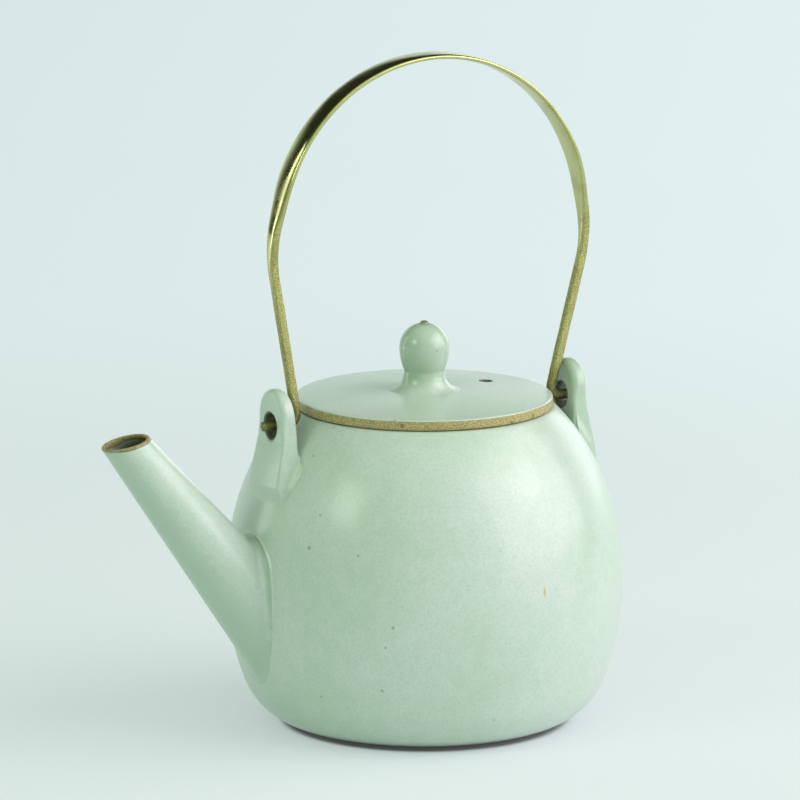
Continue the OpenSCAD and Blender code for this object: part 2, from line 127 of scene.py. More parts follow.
def evened(points, step):
    """The same line with points a step apart, found by going along its length."""
    points = np.asarray(points, float)
    along = np.concatenate([[0], np.cumsum(np.linalg.norm(np.diff(points, axis=0), axis=1))])
    at = np.linspace(0, along[-1], max(2, int(np.ceil(along[-1] / step)) + 1))
    return np.stack([np.interp(at, along, points[:, k]) for k in range(points.shape[1])], axis=-1)


def soft_line(points, reach, step):
    """A line through points whose inner corners are all rounded by the same reach, in even steps."""
    rounded = [np.asarray(points[:1], float)]
    for p, q, r in zip(points[:-2], points[1:-1], points[2:]):
        rounded.append(corner(p, q, r, reach))
    rounded.append(np.asarray(points[-1:], float))
    return evened(np.vstack(rounded), step)


def turned(profile, columns):
    """A profile (r, z) turned about Z: the point (r cos a, r sin a, z) for each angle a."""
    angle = np.arange(columns) * 2 * np.pi / columns
    grid = np.empty((len(profile), columns, 3))
    grid[..., 0] = profile[:, :1] * np.cos(angle)
    grid[..., 1] = profile[:, :1] * np.sin(angle)
    grid[..., 2] = profile[:, 1:]
    return grid


# %% Meshes
WELD, TINY = 1e-7, 1e-9


def put_object(name, data):
    """A new object in the scene."""
    thing = bpy.data.objects.new(name, data)
    bpy.context.scene.collection.objects.link(thing)
    return thing


def put_surface(name, grid, rows_close=False, masks=None):
    """A closed mesh object over a grid in millimetres, with one float attribute on its points per mask."""
    rows, columns = grid.shape[:2]
    index = np.arange(rows * columns).reshape(rows, columns)
    index = np.hstack([index, index[:, :1]])
    if rows_close:
        index = np.vstack([index, index[:1]])
    quads = np.stack([index[:-1, :-1], index[:-1, 1:], index[1:, 1:], index[1:, :-1]], axis=-1)
    mesh = bpy.data.meshes.new(name)
    mesh.from_pydata((grid * MM).reshape(-1, 3).tolist(), [], quads.reshape(-1, 4).tolist())
    for label, values in (masks or {}).items():
        layer = mesh.attributes.new(label, "FLOAT", "POINT")
        full = np.broadcast_to(values, (rows, columns)).astype(np.float32)
        layer.data.foreach_set("value", full.ravel())
    shell = bmesh.new()
    shell.from_mesh(mesh)
    bmesh.ops.remove_doubles(shell, verts=shell.verts, dist=WELD)
    bmesh.ops.dissolve_degenerate(shell, edges=shell.edges, dist=TINY)
    bmesh.ops.recalc_face_normals(shell, faces=shell.faces)
    shell.to_mesh(mesh)
    shell.free()
    mesh.polygons.foreach_set("use_smooth", np.ones(len(mesh.polygons), dtype=bool))
    return put_object(name, mesh)


def pierce(piece, cutter_grid):
    """Cuts a closed grid out of a piece for good, and leaves no cutter behind."""
    cutter = put_surface("cutter", cutter_grid)
    cut = piece.modifiers.new("pierce", "BOOLEAN")
    cut.operation = "DIFFERENCE"
    cut.solver = "EXACT"
    cut.object = cutter
    bpy.context.view_layer.update()
    seen = piece.evaluated_get(bpy.context.evaluated_depsgraph_get())
    whole = piece.data
    piece.data = bpy.data.meshes.new_from_object(seen)
    piece.data.name = piece.name
    piece.modifiers.remove(cut)
    bpy.data.objects.remove(cutter)
    bpy.data.meshes.remove(whole)


def report(piece):
    """Prints what a step made."""
    size = ", ".join(f"{length / MM:.1f}" for length in piece.dimensions)
    print(f"{piece.name}: {len(piece.data.polygons)} faces, {size} mm")


# %% [markdown]
# ## The thrown wall
#
# A thrown pot is never quite round. The wall sinks in by up to 0.3 mm in two broad swells, and the potter's
# fingers leave a faint spiral ridge. A noise texture could bend the surface instead, but a formula can also
# tell how far any point is from the wall, which the luted pieces need later.

# %% The wall and the distance from it
SWELL, SPIRAL, SUNK_LEAST = 0.22, 0.02, 0.04
SWELL_START, SWELL_TWIST, SPIRAL_PITCH = 0.8, 40.0, 6.5
SINK_LOW, SINK_HIGH = (1.0, 12.0), (95.0, 103.0)


def sunk(angle, z):
    """How far the thrown wall lies inside its ideal arcs: a two-lobed swell plus a rising spiral."""
    swell = SWELL * (0.5 + 0.5 * np.cos(2 * angle + SWELL_START + z / SWELL_TWIST))
    spiral = SPIRAL * (0.5 + 0.5 * np.sin(2 * np.pi * z / SPIRAL_PITCH + angle))
    return (SUNK_LEAST + swell + spiral) * ease(z, *SINK_LOW) * (1 - ease(z, *SINK_HIGH))


def wall_arc(points):
    """For each point (r, z), the centre and the radius of the arc of the wall that is next to it."""
    turn = np.degrees(np.arctan2(points[..., 1] - BELLY_C[1], points[..., 0] - BELLY_C[0]))
    low, high = turn < -FOOT_TURN, turn > SHOULDER_TURN
    centre = np.where(low[..., None], FOOT_C, np.where(high[..., None], SHOULDER_C, BELLY_C))
    radius = np.where(low, FOOT_ROUND, np.where(high, SHOULDER_ROUND, BELLY_ROUND))
    return centre, radius


def off_wall(points):
    """Distance of points (x, y, z) from the thrown wall, positive outside, and the wall's unit normals."""
    r = np.maximum(np.hypot(points[..., 0], points[..., 1]), TINY)
    flat = np.stack([r, points[..., 2]], axis=-1)
    centre, radius = wall_arc(flat)
    reach = np.linalg.norm(flat - centre, axis=-1)
    out = (flat - centre) / reach[..., None]
    normal = np.stack([out[..., 0] * points[..., 0] / r,
                       out[..., 0] * points[..., 1] / r,
                       out[..., 1]], axis=-1)
    angle = np.arctan2(points[..., 1], points[..., 0])
    return reach - radius + sunk(angle, points[..., 2]), normal


print(f"wall sinks by {SUNK_LEAST} to {SUNK_LEAST + SWELL + SPIRAL:.2f} mm")

# %% The pot's surface
OUTER_STEP, INNER_STEP, RIM_STEP, FLAT_STEP, POT_COLUMNS = 1.1, 2.5, 0.5, 4.0, 216
FOOT_EDGE, FLOOR_EDGE, RIM_SOFT = 0.5, 1.0, 0.9


def side(depth, start, end, count):
    """The wall's profile moved inwards by a depth, from one angle on the foot to another on the shoulder."""
    return np.vstack([arc(FOOT_C, FOOT_ROUND - depth, start, -FOOT_TURN, count),
                      arc(BELLY_C, BELLY_ROUND - depth, -FOOT_TURN, SHOULDER_TURN, count),
                      arc(SHOULDER_C, SHOULDER_ROUND - depth, SHOULDER_TURN, end, count)])


INNER_FLOOR = np.degrees(np.arcsin((FLOOR_T - FOOT_ROUND) / (FOOT_ROUND - WALL_T)))
INNER_RIM = np.degrees(np.arcsin((RIM_Z - RIM_T - SHOULDER_C[1]) / (SHOULDER_ROUND - WALL_T)))
outer_side = evened(side(0, -90, RIM_TURN, 60), OUTER_STEP)
inner_side = evened(side(WALL_T, INNER_FLOOR, INNER_RIM, 40), INNER_STEP)[::-1]
rim_corners = [outer_side[-2], outer_side[-1], [MOUTH_R, RIM_Z], [MOUTH_R, RIM_Z - RIM_T + RIM_THIN],
               inner_side[0]]
rim_line = soft_line(rim_corners, RIM_SOFT, RIM_STEP)
foot_flat = evened([[0, 0], [FOOT_R - FOOT_EDGE, 0]], FLAT_STEP)
floor_flat = evened([[inner_side[-1][0] - FLOOR_EDGE, FLOOR_T], [0, FLOOR_T]], FLAT_STEP)
pot_profile = np.vstack([foot_flat, outer_side[1:-2], rim_line, inner_side[1:], floor_flat])
pot_grid = turned(pot_profile, POT_COLUMNS)
outside = (np.arange(len(pot_profile)) < len(foot_flat) + len(outer_side) - 3)[:, None]
angle = np.arctan2(pot_grid[..., 1], pot_grid[..., 0])
pot_grid -= off_wall(pot_grid)[1] * (sunk(angle, pot_grid[..., 2]) * outside)[..., None]
print(f"pot grid: {len(pot_grid)} rows of {POT_COLUMNS} points")

# %% The pot's masks
FOOT_BARE, FOOT_SHADOW, FOOT_DARK = (0.3, 1.4), (1.3, 2.7), 0.85
RIM_POOL, RIM_POOL_FROM, RIM_POOL_TO = 0.6, 1.6, 0.5
pot_z = pot_grid[..., 2]
foot_bare = 1 - ease(pot_z, *FOOT_BARE)
# The dark band round the foot is painted shadow where the pot meets the floor.
foot_shadow = FOOT_DARK * (1 - ease(pot_z, *FOOT_SHADOW))
rim_pool = RIM_POOL * ease(pot_z, RIM_Z - RIM_POOL_FROM, RIM_Z - RIM_POOL_TO)
pot_masks = {"bare": foot_bare * outside, "thin": 0, "pool_and_shade": rim_pool * outside, "darkening": foot_shadow * outside}
pot = put_surface("thrown_pot", pot_grid, masks=pot_masks)
report(pot)

# %% [markdown]
# ## The spout
#
# The spout is a straight cone, cut to the wall and luted on. A boolean would leave a hard edge at the joint.
# So the script finds by halving where each straight line of the cone meets the wall, and then bends a
# quadratic curve from the line out onto the wall. That is the fillet of slip a potter smooths round the
# joint. It keeps a crease where the thumb pressed and a ridge beyond it, and both fade below the spout.
# The glaze is painted a deeper green in the crease and under the spout, partly as pooled glaze and partly as
# painted shade. The lip is thin, and it was wiped bare and toasted.

# %% The spout's cone
SPOUT_REACH, SPOUT_SLOPE, TIP_DROP = 109.0, 51.5, 1.5
TIP_R, ROOT_R, SPOUT_T, LIP_TILT = 7.2, 12.7, 2.2, 10.0
SPOUT_COLUMNS, HALVINGS, SEARCH_FROM, SEARCH_PAST = 144, 40, 10.0, 30.0
AXIS = np.array([facing(SPOUT_SLOPE)[0], 0, -facing(SPOUT_SLOPE)[1]])
UPPER = np.array([facing(SPOUT_SLOPE)[1], 0, facing(SPOUT_SLOPE)[0]])
ACROSS = np.array([0.0, 1.0, 0.0])
TIP = np.array([-SPOUT_REACH, 0, RIM_Z - TIP_DROP])
ROOT_S = (SPOUT_REACH - POT_R) / AXIS[0]
SPOUT_TAPER = (ROOT_R - TIP_R) / ROOT_S
LIP_NORMAL = np.array([-facing(LIP_TILT)[1], 0, facing(LIP_TILT)[0]])
spout_angle = np.arange(SPOUT_COLUMNS) * 2 * np.pi / SPOUT_COLUMNS
spoke = np.cos(spout_angle)[:, None] * UPPER + np.sin(spout_angle)[:, None] * ACROSS


def on_cone(s, inset):
    """Points on the cone: the tip plus s along the axis plus a spoke as long as the radius less an inset."""
    radius = TIP_R + SPOUT_TAPER * s - inset
    return TIP + s[..., None] * AXIS + radius[..., None] * spoke


def meets_wall(inset, depth):
    """Where each line of the cone comes to a depth in the wall, found by halving."""
    near = np.full(len(spoke), SEARCH_FROM)
    far = np.full(len(spoke), ROOT_S + SEARCH_PAST)
    for _ in range(HALVINGS):
        middle = (near + far) / 2
        inside = off_wall(on_cone(middle, inset))[0] < -depth
        far = np.where(inside, middle, far)
        near = np.where(inside, near, middle)
    return (near + far) / 2


# %% Where the spout meets the wall
FILLET, FILLET_SHORTEST, FILLET_LONGEST, BORE_DEPTH = 4.2, 2.5, 4.6, 0.6
lip_spoke = spoke @ LIP_NORMAL
lip_s = (TIP_R - SPOUT_T / 2) * lip_spoke / (-AXIS @ LIP_NORMAL - SPOUT_TAPER * lip_spoke)
root_s = meets_wall(0, 0)
bore_s = meets_wall(SPOUT_T, WALL_T * BORE_DEPTH)
root = on_cone(root_s, 0)
wall_out = off_wall(root)[1]
back_up = unit(on_cone(root_s - 1, 0) - root)
onto_wall = unit(spoke - np.sum(spoke * wall_out, axis=-1, keepdims=True) * wall_out)
opening_angle = np.arccos(np.clip(np.sum(back_up * onto_wall, axis=-1), -1, 1))
reach = np.clip(FILLET / np.tan(opening_angle / 2), FILLET_SHORTEST, FILLET_LONGEST)[:, None]
print(f"spout meets the wall {root_s.min():.1f} to {root_s.max():.1f} mm along its axis")

# %% The spout's rows
LIP_T, LIP_H, LIP_DEEP = 1.1, 0.5, 0.3
LIP_ROWS, OUTER_ROWS, SLIP_ROWS, BORE_ROWS = 9, 55, 30, 22
SLIP_RIDGE, RIDGE_AT, SLIP_CREASE, CREASE_AT = 0.5, (0.86, 0.08), 0.28, (0.6, 0.13)
SLIP_BELOW, SLIP_SIDES, SLIP_END, SLIP_BACK = 0.15, (-0.75, 0.2), 0.12, 1.5
lip_end = lip_s + LIP_H
lip_rows = []
for turn in np.linspace(180, 0, LIP_ROWS):
    across, high = facing(turn)
    lip_rows.append(on_cone(lip_s + LIP_H * (1 - high), LIP_T / 2 * (1 - across)))
outer_rows = []
for t in np.linspace(0, 1, OUTER_ROWS + 1)[1:]:
    outer_rows.append(on_cone(lip_end * (1 - t) + (root_s - reach[:, 0]) * t, 0))
slip_share = np.linspace(0, 1, SLIP_ROWS + 1)[1:]
beside = SLIP_BELOW + (1 - SLIP_BELOW) * ease(np.cos(spout_angle), *SLIP_SIDES)
start, end = root + back_up * reach, root + onto_wall * reach
end_off, end_out = off_wall(end)
slip_rows = []
for t in slip_share:
    row = (1 - t) ** 2 * start + 2 * t * (1 - t) * root + t ** 2 * end
    dip = SLIP_CREASE * hump(t, *CREASE_AT) - SLIP_RIDGE * hump(t, *RIDGE_AT)
    slip_rows.append(row - end_out * (t ** 3 * (end_off + SLIP_END) + dip * beside)[:, None])
hidden_rows = [slip_rows[-1] - end_out * SLIP_BACK, on_cone(bore_s, SPOUT_T)]
bore_rows = []
for t in np.linspace(0, 1, BORE_ROWS + 2)[1:-1]:
    inset = SPOUT_T + (LIP_T - SPOUT_T) * ease(t, 1 - LIP_DEEP, 1)
    bore_rows.append(on_cone(bore_s * (1 - t) + lip_end * t, inset))
spout_grid = np.array(lip_rows + outer_rows + slip_rows + hidden_rows + bore_rows)
print(f"spout grid: {len(spout_grid)} rows of {SPOUT_COLUMNS} points")

# %% The spout's masks
LIP_BARE, LIP_STAIN, BORE_SHADE = (0.2, 1.3), 0.3, 0.85
CREASE_POOL_AND_SHADE, POOL_AT, UNDER_POOL_AND_SHADE, UNDER_SPAN = 1.0, (0.58, 0.2), 0.8, (-0.2, 0.8)
from_lip = np.einsum("ijk,k->ij", spout_grid - TIP, -LIP_NORMAL)
slip_from = LIP_ROWS + OUTER_ROWS
slip_pool_and_shade = np.zeros(len(spout_grid))
# The crease is painted a deeper green, partly pooled glaze and partly painted shade.
slip_pool_and_shade[slip_from:slip_from + SLIP_ROWS] = CREASE_POOL_AND_SHADE * hump(slip_share, *POOL_AT)
spout_stain_and_shade = np.zeros(len(spout_grid))
spout_stain_and_shade[:LIP_ROWS] = LIP_STAIN
# The bore is painted near black as shade inside the spout; the lip's lighter darkening is tea staining.
spout_stain_and_shade[-BORE_ROWS:] = BORE_SHADE
# The underside is painted a deeper green, partly pooled glaze and partly painted shade.
under_pool_and_shade = UNDER_POOL_AND_SHADE * ease(-np.cos(spout_angle), *UNDER_SPAN)
spout_pool_and_shade = np.maximum(slip_pool_and_shade[:, None] * beside, under_pool_and_shade * (spout_stain_and_shade == 0)[:, None])
spout_bare = 1 - ease(from_lip, *LIP_BARE)
spout_masks = {"bare": spout_bare, "thin": 0, "pool_and_shade": spout_pool_and_shade, "darkening": spout_stain_and_shade[:, None]}
spout = put_surface("luted_spout", spout_grid, rows_close=True, masks=spout_masks)
report(spout)

# %% The way through the wall
WAY_R, WAY_FROM, WAY_TO = 7.0, -9.0, 24.0
way_rings = [(0, WAY_FROM), (WAY_R, WAY_FROM), (WAY_R, WAY_TO), (0, WAY_TO)]
way_grid = np.array([TIP + (ROOT_S + s) * AXIS + r * spoke[::3] for r, s in way_rings])
pierce(pot, way_grid)
report(pot)

# %% [markdown]
# ## The ears
#
# An ear is a tab of clay with a hole for the bail. A bevelled box could stand for it, but a luted tab leans
# and melts into the pot. So an ear is a ring-shaped grid round its own hole. Each column starts at the hole,
# runs over the outer face to the outline of a round-topped tab, round the edge, down the side to the wall
# and back along the inner face. Towards the foot the outer face takes on the wall's curve and runs out into
# it. The side's rows end just under the wall, so that the fillet of slip beside the ear has a clean line.

# %% The ears' faces
EAR_IN, EAR_T, EAR_W, EAR_TOP, EAR_FOOT = 51.1, 5.4, 17.5, 12.0, 26.0
EAR_FOOT_W, EAR_LEAN, EAR_TAPER, EAR_CORNER, HOLE_R = 22.5, 5.0, 0.8, 4.0, 4.1
MELT_FROM, MELT_TO, MELT_UNDER, FOOT_CURVE, EAR_STEP = 0.7, 1.01, 0.25, 1.0, 0.42
EAR_OUT = EAR_IN + EAR_T


def wall_x(y, z):
    """How far out the wall lies at height z and at y beside the X axis: its radius there by Pythagoras."""
    high = z > BELLY_C[1] + BELLY_ROUND * facing(SHOULDER_TURN)[1]
    centre_r = np.where(high, SHOULDER_C[0], BELLY_C[0])
    centre_z = np.where(high, SHOULDER_C[1], BELLY_C[1])
    radius = np.where(high, SHOULDER_ROUND, BELLY_ROUND)
    wall_r = centre_r + np.sqrt(radius ** 2 - (z - centre_z) ** 2)
    return np.sqrt(wall_r ** 2 - y ** 2)


def ear_outer(y, z):
    """The outer face: it leans out below the hole and takes on the wall's curve towards its foot."""
    low = np.clip(-z - HOLE_R, 0, None) / (EAR_FOOT - HOLE_R)
    face = EAR_OUT + EAR_LEAN * low - FOOT_CURVE * low * y ** 2 / (2 * EAR_OUT)
    melted = ease(-z, EAR_FOOT * MELT_FROM, EAR_FOOT * MELT_TO)
    return face + (wall_x(y, HINGE_Z + np.minimum(z, -HOLE_R)) - MELT_UNDER - face) * melted


def ear_inner(z):
    """The inner face: upright, and leaning out above the hole."""
    return EAR_IN + EAR_TAPER * np.clip(z, 0, None) / EAR_TOP


def tab_y(y, z):
    """The tab's y after it widens evenly from its hole down to its foot."""
    return y * (1 + (EAR_FOOT_W / EAR_W - 1) * np.clip(-z, 0, None) / EAR_FOOT)


def tab_outline():
    """The tab's outline (y, z) round the hole in even steps, and its outward normals."""
    round_z = EAR_TOP - EAR_W / 2
    half = np.vstack([arc([0, round_z], EAR_W / 2, 90, 180, 40),
                      arc([EAR_CORNER - EAR_W / 2, EAR_CORNER - EAR_FOOT], EAR_CORNER, 180, 270, 20),
                      [[0, -EAR_FOOT]]])
    whole = evened(np.vstack([half, (half * [-1, 1])[-2::-1]]), EAR_STEP)[:-1]
    ahead = unit(np.roll(whole, -1, axis=0) - np.roll(whole, 1, axis=0))
    return whole, np.stack([ahead[:, 1], -ahead[:, 0]], axis=-1)


print(f"ear outline: {len(tab_outline()[0])} points")

# %% The ears' rows and slip
EDGE_SOFT, EDGE_CRISP, EDGE_SPAN, HOLE_EDGE = 1.8, 0.8, (-6.0, 6.0), 0.7
EAR_FILLET, INNER_FILLET, SLIP_SHARE, SLIP_LEAST = 4.0, 2.0, 1.0, 0.5
SLIP_SUNK, SUNK_SPREAD, SIDE_TOP = 1.2, 3.0, -1.3
EAR_RIDGE, EAR_RIDGE_AT = 0.14, (0.25, 0.22)
FACE_ROWS, ROUND_ROWS, SIDE_ROWS, HOLE_ROWS = 23, 7, 19, 5


def ear_rows(edge):
    """Rows (share of the way out from the hole, inset, place, depth); place goes 0 outer, 1 side, 2 inner."""
    quarter = np.linspace(0, 90, ROUND_ROWS)
    face = np.linspace(0, 1, FACE_ROWS + 1)[:-1]
    rows = [(share, edge, 0, 0 * edge) for share in face]
    rows += [(1, edge * (1 - facing(t)[1]), 0, edge * (1 - facing(t)[0])) for t in quarter]
    rows += [(1, 0 * edge, v, edge) for v in np.linspace(0, 1, SIDE_ROWS + 1)[1:]]
    rows += [(1, edge * (1 - facing(t)[1]), 2, edge * (1 - facing(t)[0])) for t in quarter[::-1]]
    rows += [(share, edge, 2, 0 * edge) for share in face[::-1]]
    return rows


def slipped(point, push_way, fillet, ridge_share):
    """Points near the wall moved along it by the round of a fillet of slip, and how much slip lies there."""
    off, out = off_wall(point)
    close = np.clip(fillet - off, 0, fillet)
    push = fillet - np.sqrt(fillet ** 2 - close ** 2) + SUNK_SPREAD * np.clip(-off, 0, SLIP_SUNK)
    along_wall = push_way - np.sum(push_way * out, axis=-1, keepdims=True) * out
    moved = point + along_wall * push[:, None]
    moved_off, moved_out = off_wall(moved)
    ridge = EAR_RIDGE * hump(off, *EAR_RIDGE_AT) * ridge_share
    lift = np.maximum(off, -SLIP_SUNK) + ridge - moved_off
    return moved + moved_out * lift[:, None], ease(fillet - off, 0, fillet)


def hole_rows(hole_ring):
    """The rounded lining of the hole, from the inner face to the outer."""
    rows = []
    turns = np.concatenate([np.linspace(0, 90, HOLE_ROWS), np.linspace(90, 0, HOLE_ROWS)])
    for k, turn in enumerate(turns):
        y, z = (unit(hole_ring) * (HOLE_R + HOLE_EDGE * (1 - facing(turn)[1]))).T
        depth = HOLE_EDGE * (1 - facing(turn)[0])
        x = ear_inner(z) + depth if k < HOLE_ROWS else ear_outer(y, z) - depth
        rows.append(np.stack([x, y, HINGE_Z + z], axis=-1))
    return rows


# %% Both ears
# Name, way and share of pooled glaze; the rear ear's larger share is partly painted shade.
EARS = [("luted_ear_spout_side", -1, 0.25), ("luted_ear_rear", 1, 1.0)]
SLIP_POOL = 0.4


def ear_grid(way):
    """One ear with its share of slip and its hole's rows; way is -1 on the spout's side and 1 at the rear."""
    outline, outward = tab_outline()
    edge = EDGE_CRISP + (EDGE_SOFT - EDGE_CRISP) * ease(outline[:, 1], *EDGE_SPAN)
    hole_ring = unit(outline - edge[:, None] * outward) * (HOLE_R + HOLE_EDGE)
    rows, slip = [], []
    for share, inset, place, depth in ear_rows(edge):
        y, z = (hole_ring * (1 - share) + (outline - inset[:, None] * outward) * share).T
        y = tab_y(y, z) * share + y * (1 - share)
        outer = ear_outer(y, z)
        sideways = (1 - inset / edge)[:, None]
        push_way = np.concatenate([0 * sideways, outward * sideways], axis=1)
        if place < 2:
            wall_end = wall_x(y, HINGE_Z + np.minimum(z, SIDE_TOP)) - SLIP_SUNK
            x = (outer - depth) * (1 - place) + np.maximum(ear_inner(z) + edge, wall_end) * place
            high = off_wall(np.stack([outer, y, HINGE_Z + z], axis=-1))[0]
            fillet = np.clip(SLIP_SHARE * high, SLIP_LEAST, EAR_FILLET)
        else:
            x = ear_inner(z) + depth
            push_way[:, 0] = -(1 - sideways[:, 0])
            fillet = np.full(len(y), INNER_FILLET)
        point = np.stack([x, y, HINGE_Z + z], axis=-1)
        moved, amount = slipped(point, push_way, fillet, sideways[:, 0] * (place < 2))
        rows.append(moved)
        slip.append(amount * sideways[:, 0])
    lining = hole_rows(hole_ring)
    slip += [0 * edge] * len(lining)
    in_hole = np.arange(len(slip)) >= len(rows)
    return np.array(rows + lining) * [way, 1, 1], np.array(slip), in_hole[:, None]


ears = []
for name, way, ear_pool_and_shade in EARS:
    grid, slip, in_hole = ear_grid(way)
    # The hole's lining is painted near black as shade inside the hole.
    ear_masks = {"bare": 0, "thin": 0, "pool_and_shade": np.minimum(ear_pool_and_shade + SLIP_POOL * slip, 1), "darkening": in_hole}
    ears.append(put_surface(name, grid, rows_close=True, masks=ear_masks))
    report(ears[-1])

# %% [markdown]
# ## The lid and its knob
#
# Both are thrown, so each is one profile turned about the axis. The lid's edge and its seat were wiped clean
# of glaze and fired to a toasted brown, which the mask called bare carries. The steam hole was pierced from
# above with a tapered tool. It lies off the axis, so it is cut out of the turned lid, and the faces inside
# it take the mask called darkening, which paints shade inside the hole.

# %% The lid
LID_T, LID_RISE, LID_ROUND, LID_HOLLOW = 3.5, 1.7, 0.8, 0.4
RING_R, RING_T, RING_H, FLARE_R = 33.0, 3.0, 9.0, 11.5
LID_SOFT, LID_STEP, LID_EDGE_LOW = 0.6, 0.6, 1.4
LID_EDGE_ROWS, LID_TOP_ROWS, LID_COLUMNS = 9, 49, 240
UNDER_KNOB, UNDER_KNOB_STEP = 2.0, 3.0
SEAT_BARE, EDGE_BARE = 1.0, (2.75, 3.3)
RING_IN = RING_R - RING_T
LID_TOP = LID_T + LID_RISE
under = soft_line([[0, LID_HOLLOW], [RING_IN, LID_HOLLOW], [RING_IN, -RING_H], [RING_R, -RING_H],
                   [RING_R, 0], [LID_R, 0], [LID_R, LID_EDGE_LOW]], LID_SOFT, LID_STEP)
edge = arc([LID_R - LID_ROUND, LID_T - LID_ROUND], LID_ROUND, 0, 90, LID_EDGE_ROWS)
inward = np.linspace(0, 1, LID_TOP_ROWS + 1)[1:]
top_r = LID_R - LID_ROUND + (FLARE_R - LID_R + LID_ROUND) * inward
top = np.stack([top_r, LID_T + LID_RISE * (1 - (1 - inward) ** 2)], axis=-1)
middle = evened([[FLARE_R - UNDER_KNOB, LID_TOP], [0, LID_TOP]], UNDER_KNOB_STEP)
lid_profile = np.vstack([under, edge, top, middle]) + [0, LID_Z]
low_part = np.arange(len(lid_profile)) < len(under) + len(edge)
lid_bare = low_part * ease(lid_profile[:, 0], RING_R - SEAT_BARE, RING_R)
lid_bare = lid_bare * (1 - ease(lid_profile[:, 1] - LID_Z, *EDGE_BARE))
lid_masks = {"bare": lid_bare[:, None], "thin": 0, "pool_and_shade": 0, "darkening": 0}
lid = put_surface("thrown_lid", turned(lid_profile, LID_COLUMNS), masks=lid_masks)
report(lid)

# %% The steam hole
VENT_R, VENT_LOW_R, VENT_TURN, VENT_IN, VENT_SLACK = 2.4, 1.4, 9.0, 2.2, 0.01
VENT_FROM, VENT_NARROW_Z, VENT_Z, VENT_TO = -1.0, 4.4, 4.8, 5.2
VENT_NARROW, VENT_FLARE, VENT_COLUMNS = 0.1, 0.2, 48
vent_at = (RING_IN - VENT_IN - VENT_R) * facing(VENT_TURN)
vent_profile = np.array([[0, VENT_FROM], [VENT_LOW_R, VENT_FROM], [VENT_R - VENT_NARROW, VENT_NARROW_Z],
                         [VENT_R, VENT_Z], [VENT_R + VENT_FLARE, VENT_TO], [0, VENT_TO]])
pierce(lid, turned(vent_profile, VENT_COLUMNS) + [vent_at[0], vent_at[1], LID_Z])
lid.data.attributes.remove(lid.data.attributes["darkening"])
# The faces inside the steam hole are painted near black as shade.
middles = np.empty(3 * len(lid.data.polygons))
lid.data.polygons.foreach_get("center", middles)
middles = middles.reshape(-1, 3) / MM
in_vent = np.hypot(middles[:, 0] - vent_at[0], middles[:, 1] - vent_at[1]) < VENT_R - VENT_SLACK
shade_painted = lid.data.attributes.new("darkening", "FLOAT", "FACE")
shade_painted.data.foreach_set("value", in_vent.astype(np.float32))
print("steam hole:", int(in_vent.sum()), "stained faces")

# %% The knob
BALL_R, BALL_H, BALL_DROP, NECK_R = 8.2, 14.0, 12.6, 6.6
FLARE_EDGE, NIB_R, NIB_FOOT, NIB_H = 0.03, 1.3, 2.6, 0.7
KNOB_SUNK, KNOB_COLUMNS = 0.1, 120
NIB_THIN, NECK_POOL_FROM, NECK_POOL_TO = 0.2, 0.2, 0.8
KNOB_Z = LID_Z + LID_T + LID_RISE
neck_turn = -np.degrees(np.arccos(NECK_R / BALL_R))
neck_h = BALL_H + BALL_DROP * facing(neck_turn)[1]
nib_turn = np.degrees(np.arccos(NIB_FOOT / BALL_R))
nib_low = BALL_H + BALL_R * facing(nib_turn)[1]
nib_top = BALL_H + BALL_R + NIB_H
nib_mid = (nib_low + nib_top) / 2
knob_profile = np.vstack([
    [[0, -KNOB_SUNK], [FLARE_R - 1, -KNOB_SUNK], [FLARE_R - KNOB_SUNK, -KNOB_SUNK / 2]],
    arc([FLARE_R, neck_h], [FLARE_R - NECK_R, neck_h - FLARE_EDGE], 270, 180, 26),
    arc([0, BALL_H], [BALL_R, BALL_DROP], neck_turn, 0, 22)[1:],
    arc([0, BALL_H], BALL_R, 0, nib_turn, 34)[1:],
    arc([NIB_FOOT, nib_mid], [NIB_FOOT - NIB_R, nib_mid - nib_low], 270, 180, 7)[1:],
    arc([0, nib_mid], [NIB_R, nib_top - nib_mid], 0, 90, 10)[1:]])
knob_thin = ease(knob_profile[:, 1:], nib_low - NIB_THIN, nib_mid)
knob_pool = ease(knob_profile[:, 1:], NECK_POOL_FROM, neck_h * NECK_POOL_TO)
knob_grid = turned(knob_profile + [0, KNOB_Z], KNOB_COLUMNS)
knob_masks = {"bare": 0, "thin": knob_thin, "pool_and_shade": knob_pool, "darkening": 0}
knob = put_surface("thrown_knob", knob_grid, masks=knob_masks)
report(knob)

# %% [markdown]
# ## The bail
#
# The bail is one brass rod, forged flat where a hand holds it. A curve with one bevel would keep the same
# section all the way, so path and section are worked out apart. The path runs in a plane: out of one ear,
# round a tight bend, up the leg, round the elbow, over the arch and down again. The section changes with
# the height over the hinge: a round pin, then a squared leg, then a wide thin grip whose faces are crowned
# by the hammer. Hands have polished the wide faces lower down than the narrow edges.

# %% The bail's path
ARCH_R, ARCH_H, ARCH_TURN, ARCH_RUN, ARCH_LEAN = 56.2, 60.6, 12.0, 17.2, 2.2
ELBOW_ROUND, END_ROUND, LEG_CLEAR = 45.0, 3.0, 0.5
LEG_W, LEG_T, PIN_R, PIN_OUT = 2.8, 3.2, 1.6, 3.5
ARCH_RINGS, PIN_STEP, LEG_STEP = 110, 0.8, 1.5
PIN_END = EAR_OUT + PIN_OUT


def lean(points):
    """Points turned in the bail's plane by the small lean of the hand-bent arch."""
    c, s = facing(ARCH_LEAN)
    x, z = np.moveaxis(np.asarray(points, float), -1, 0)
    return np.stack([x * c + z * s, z * c - x * s], axis=-1)


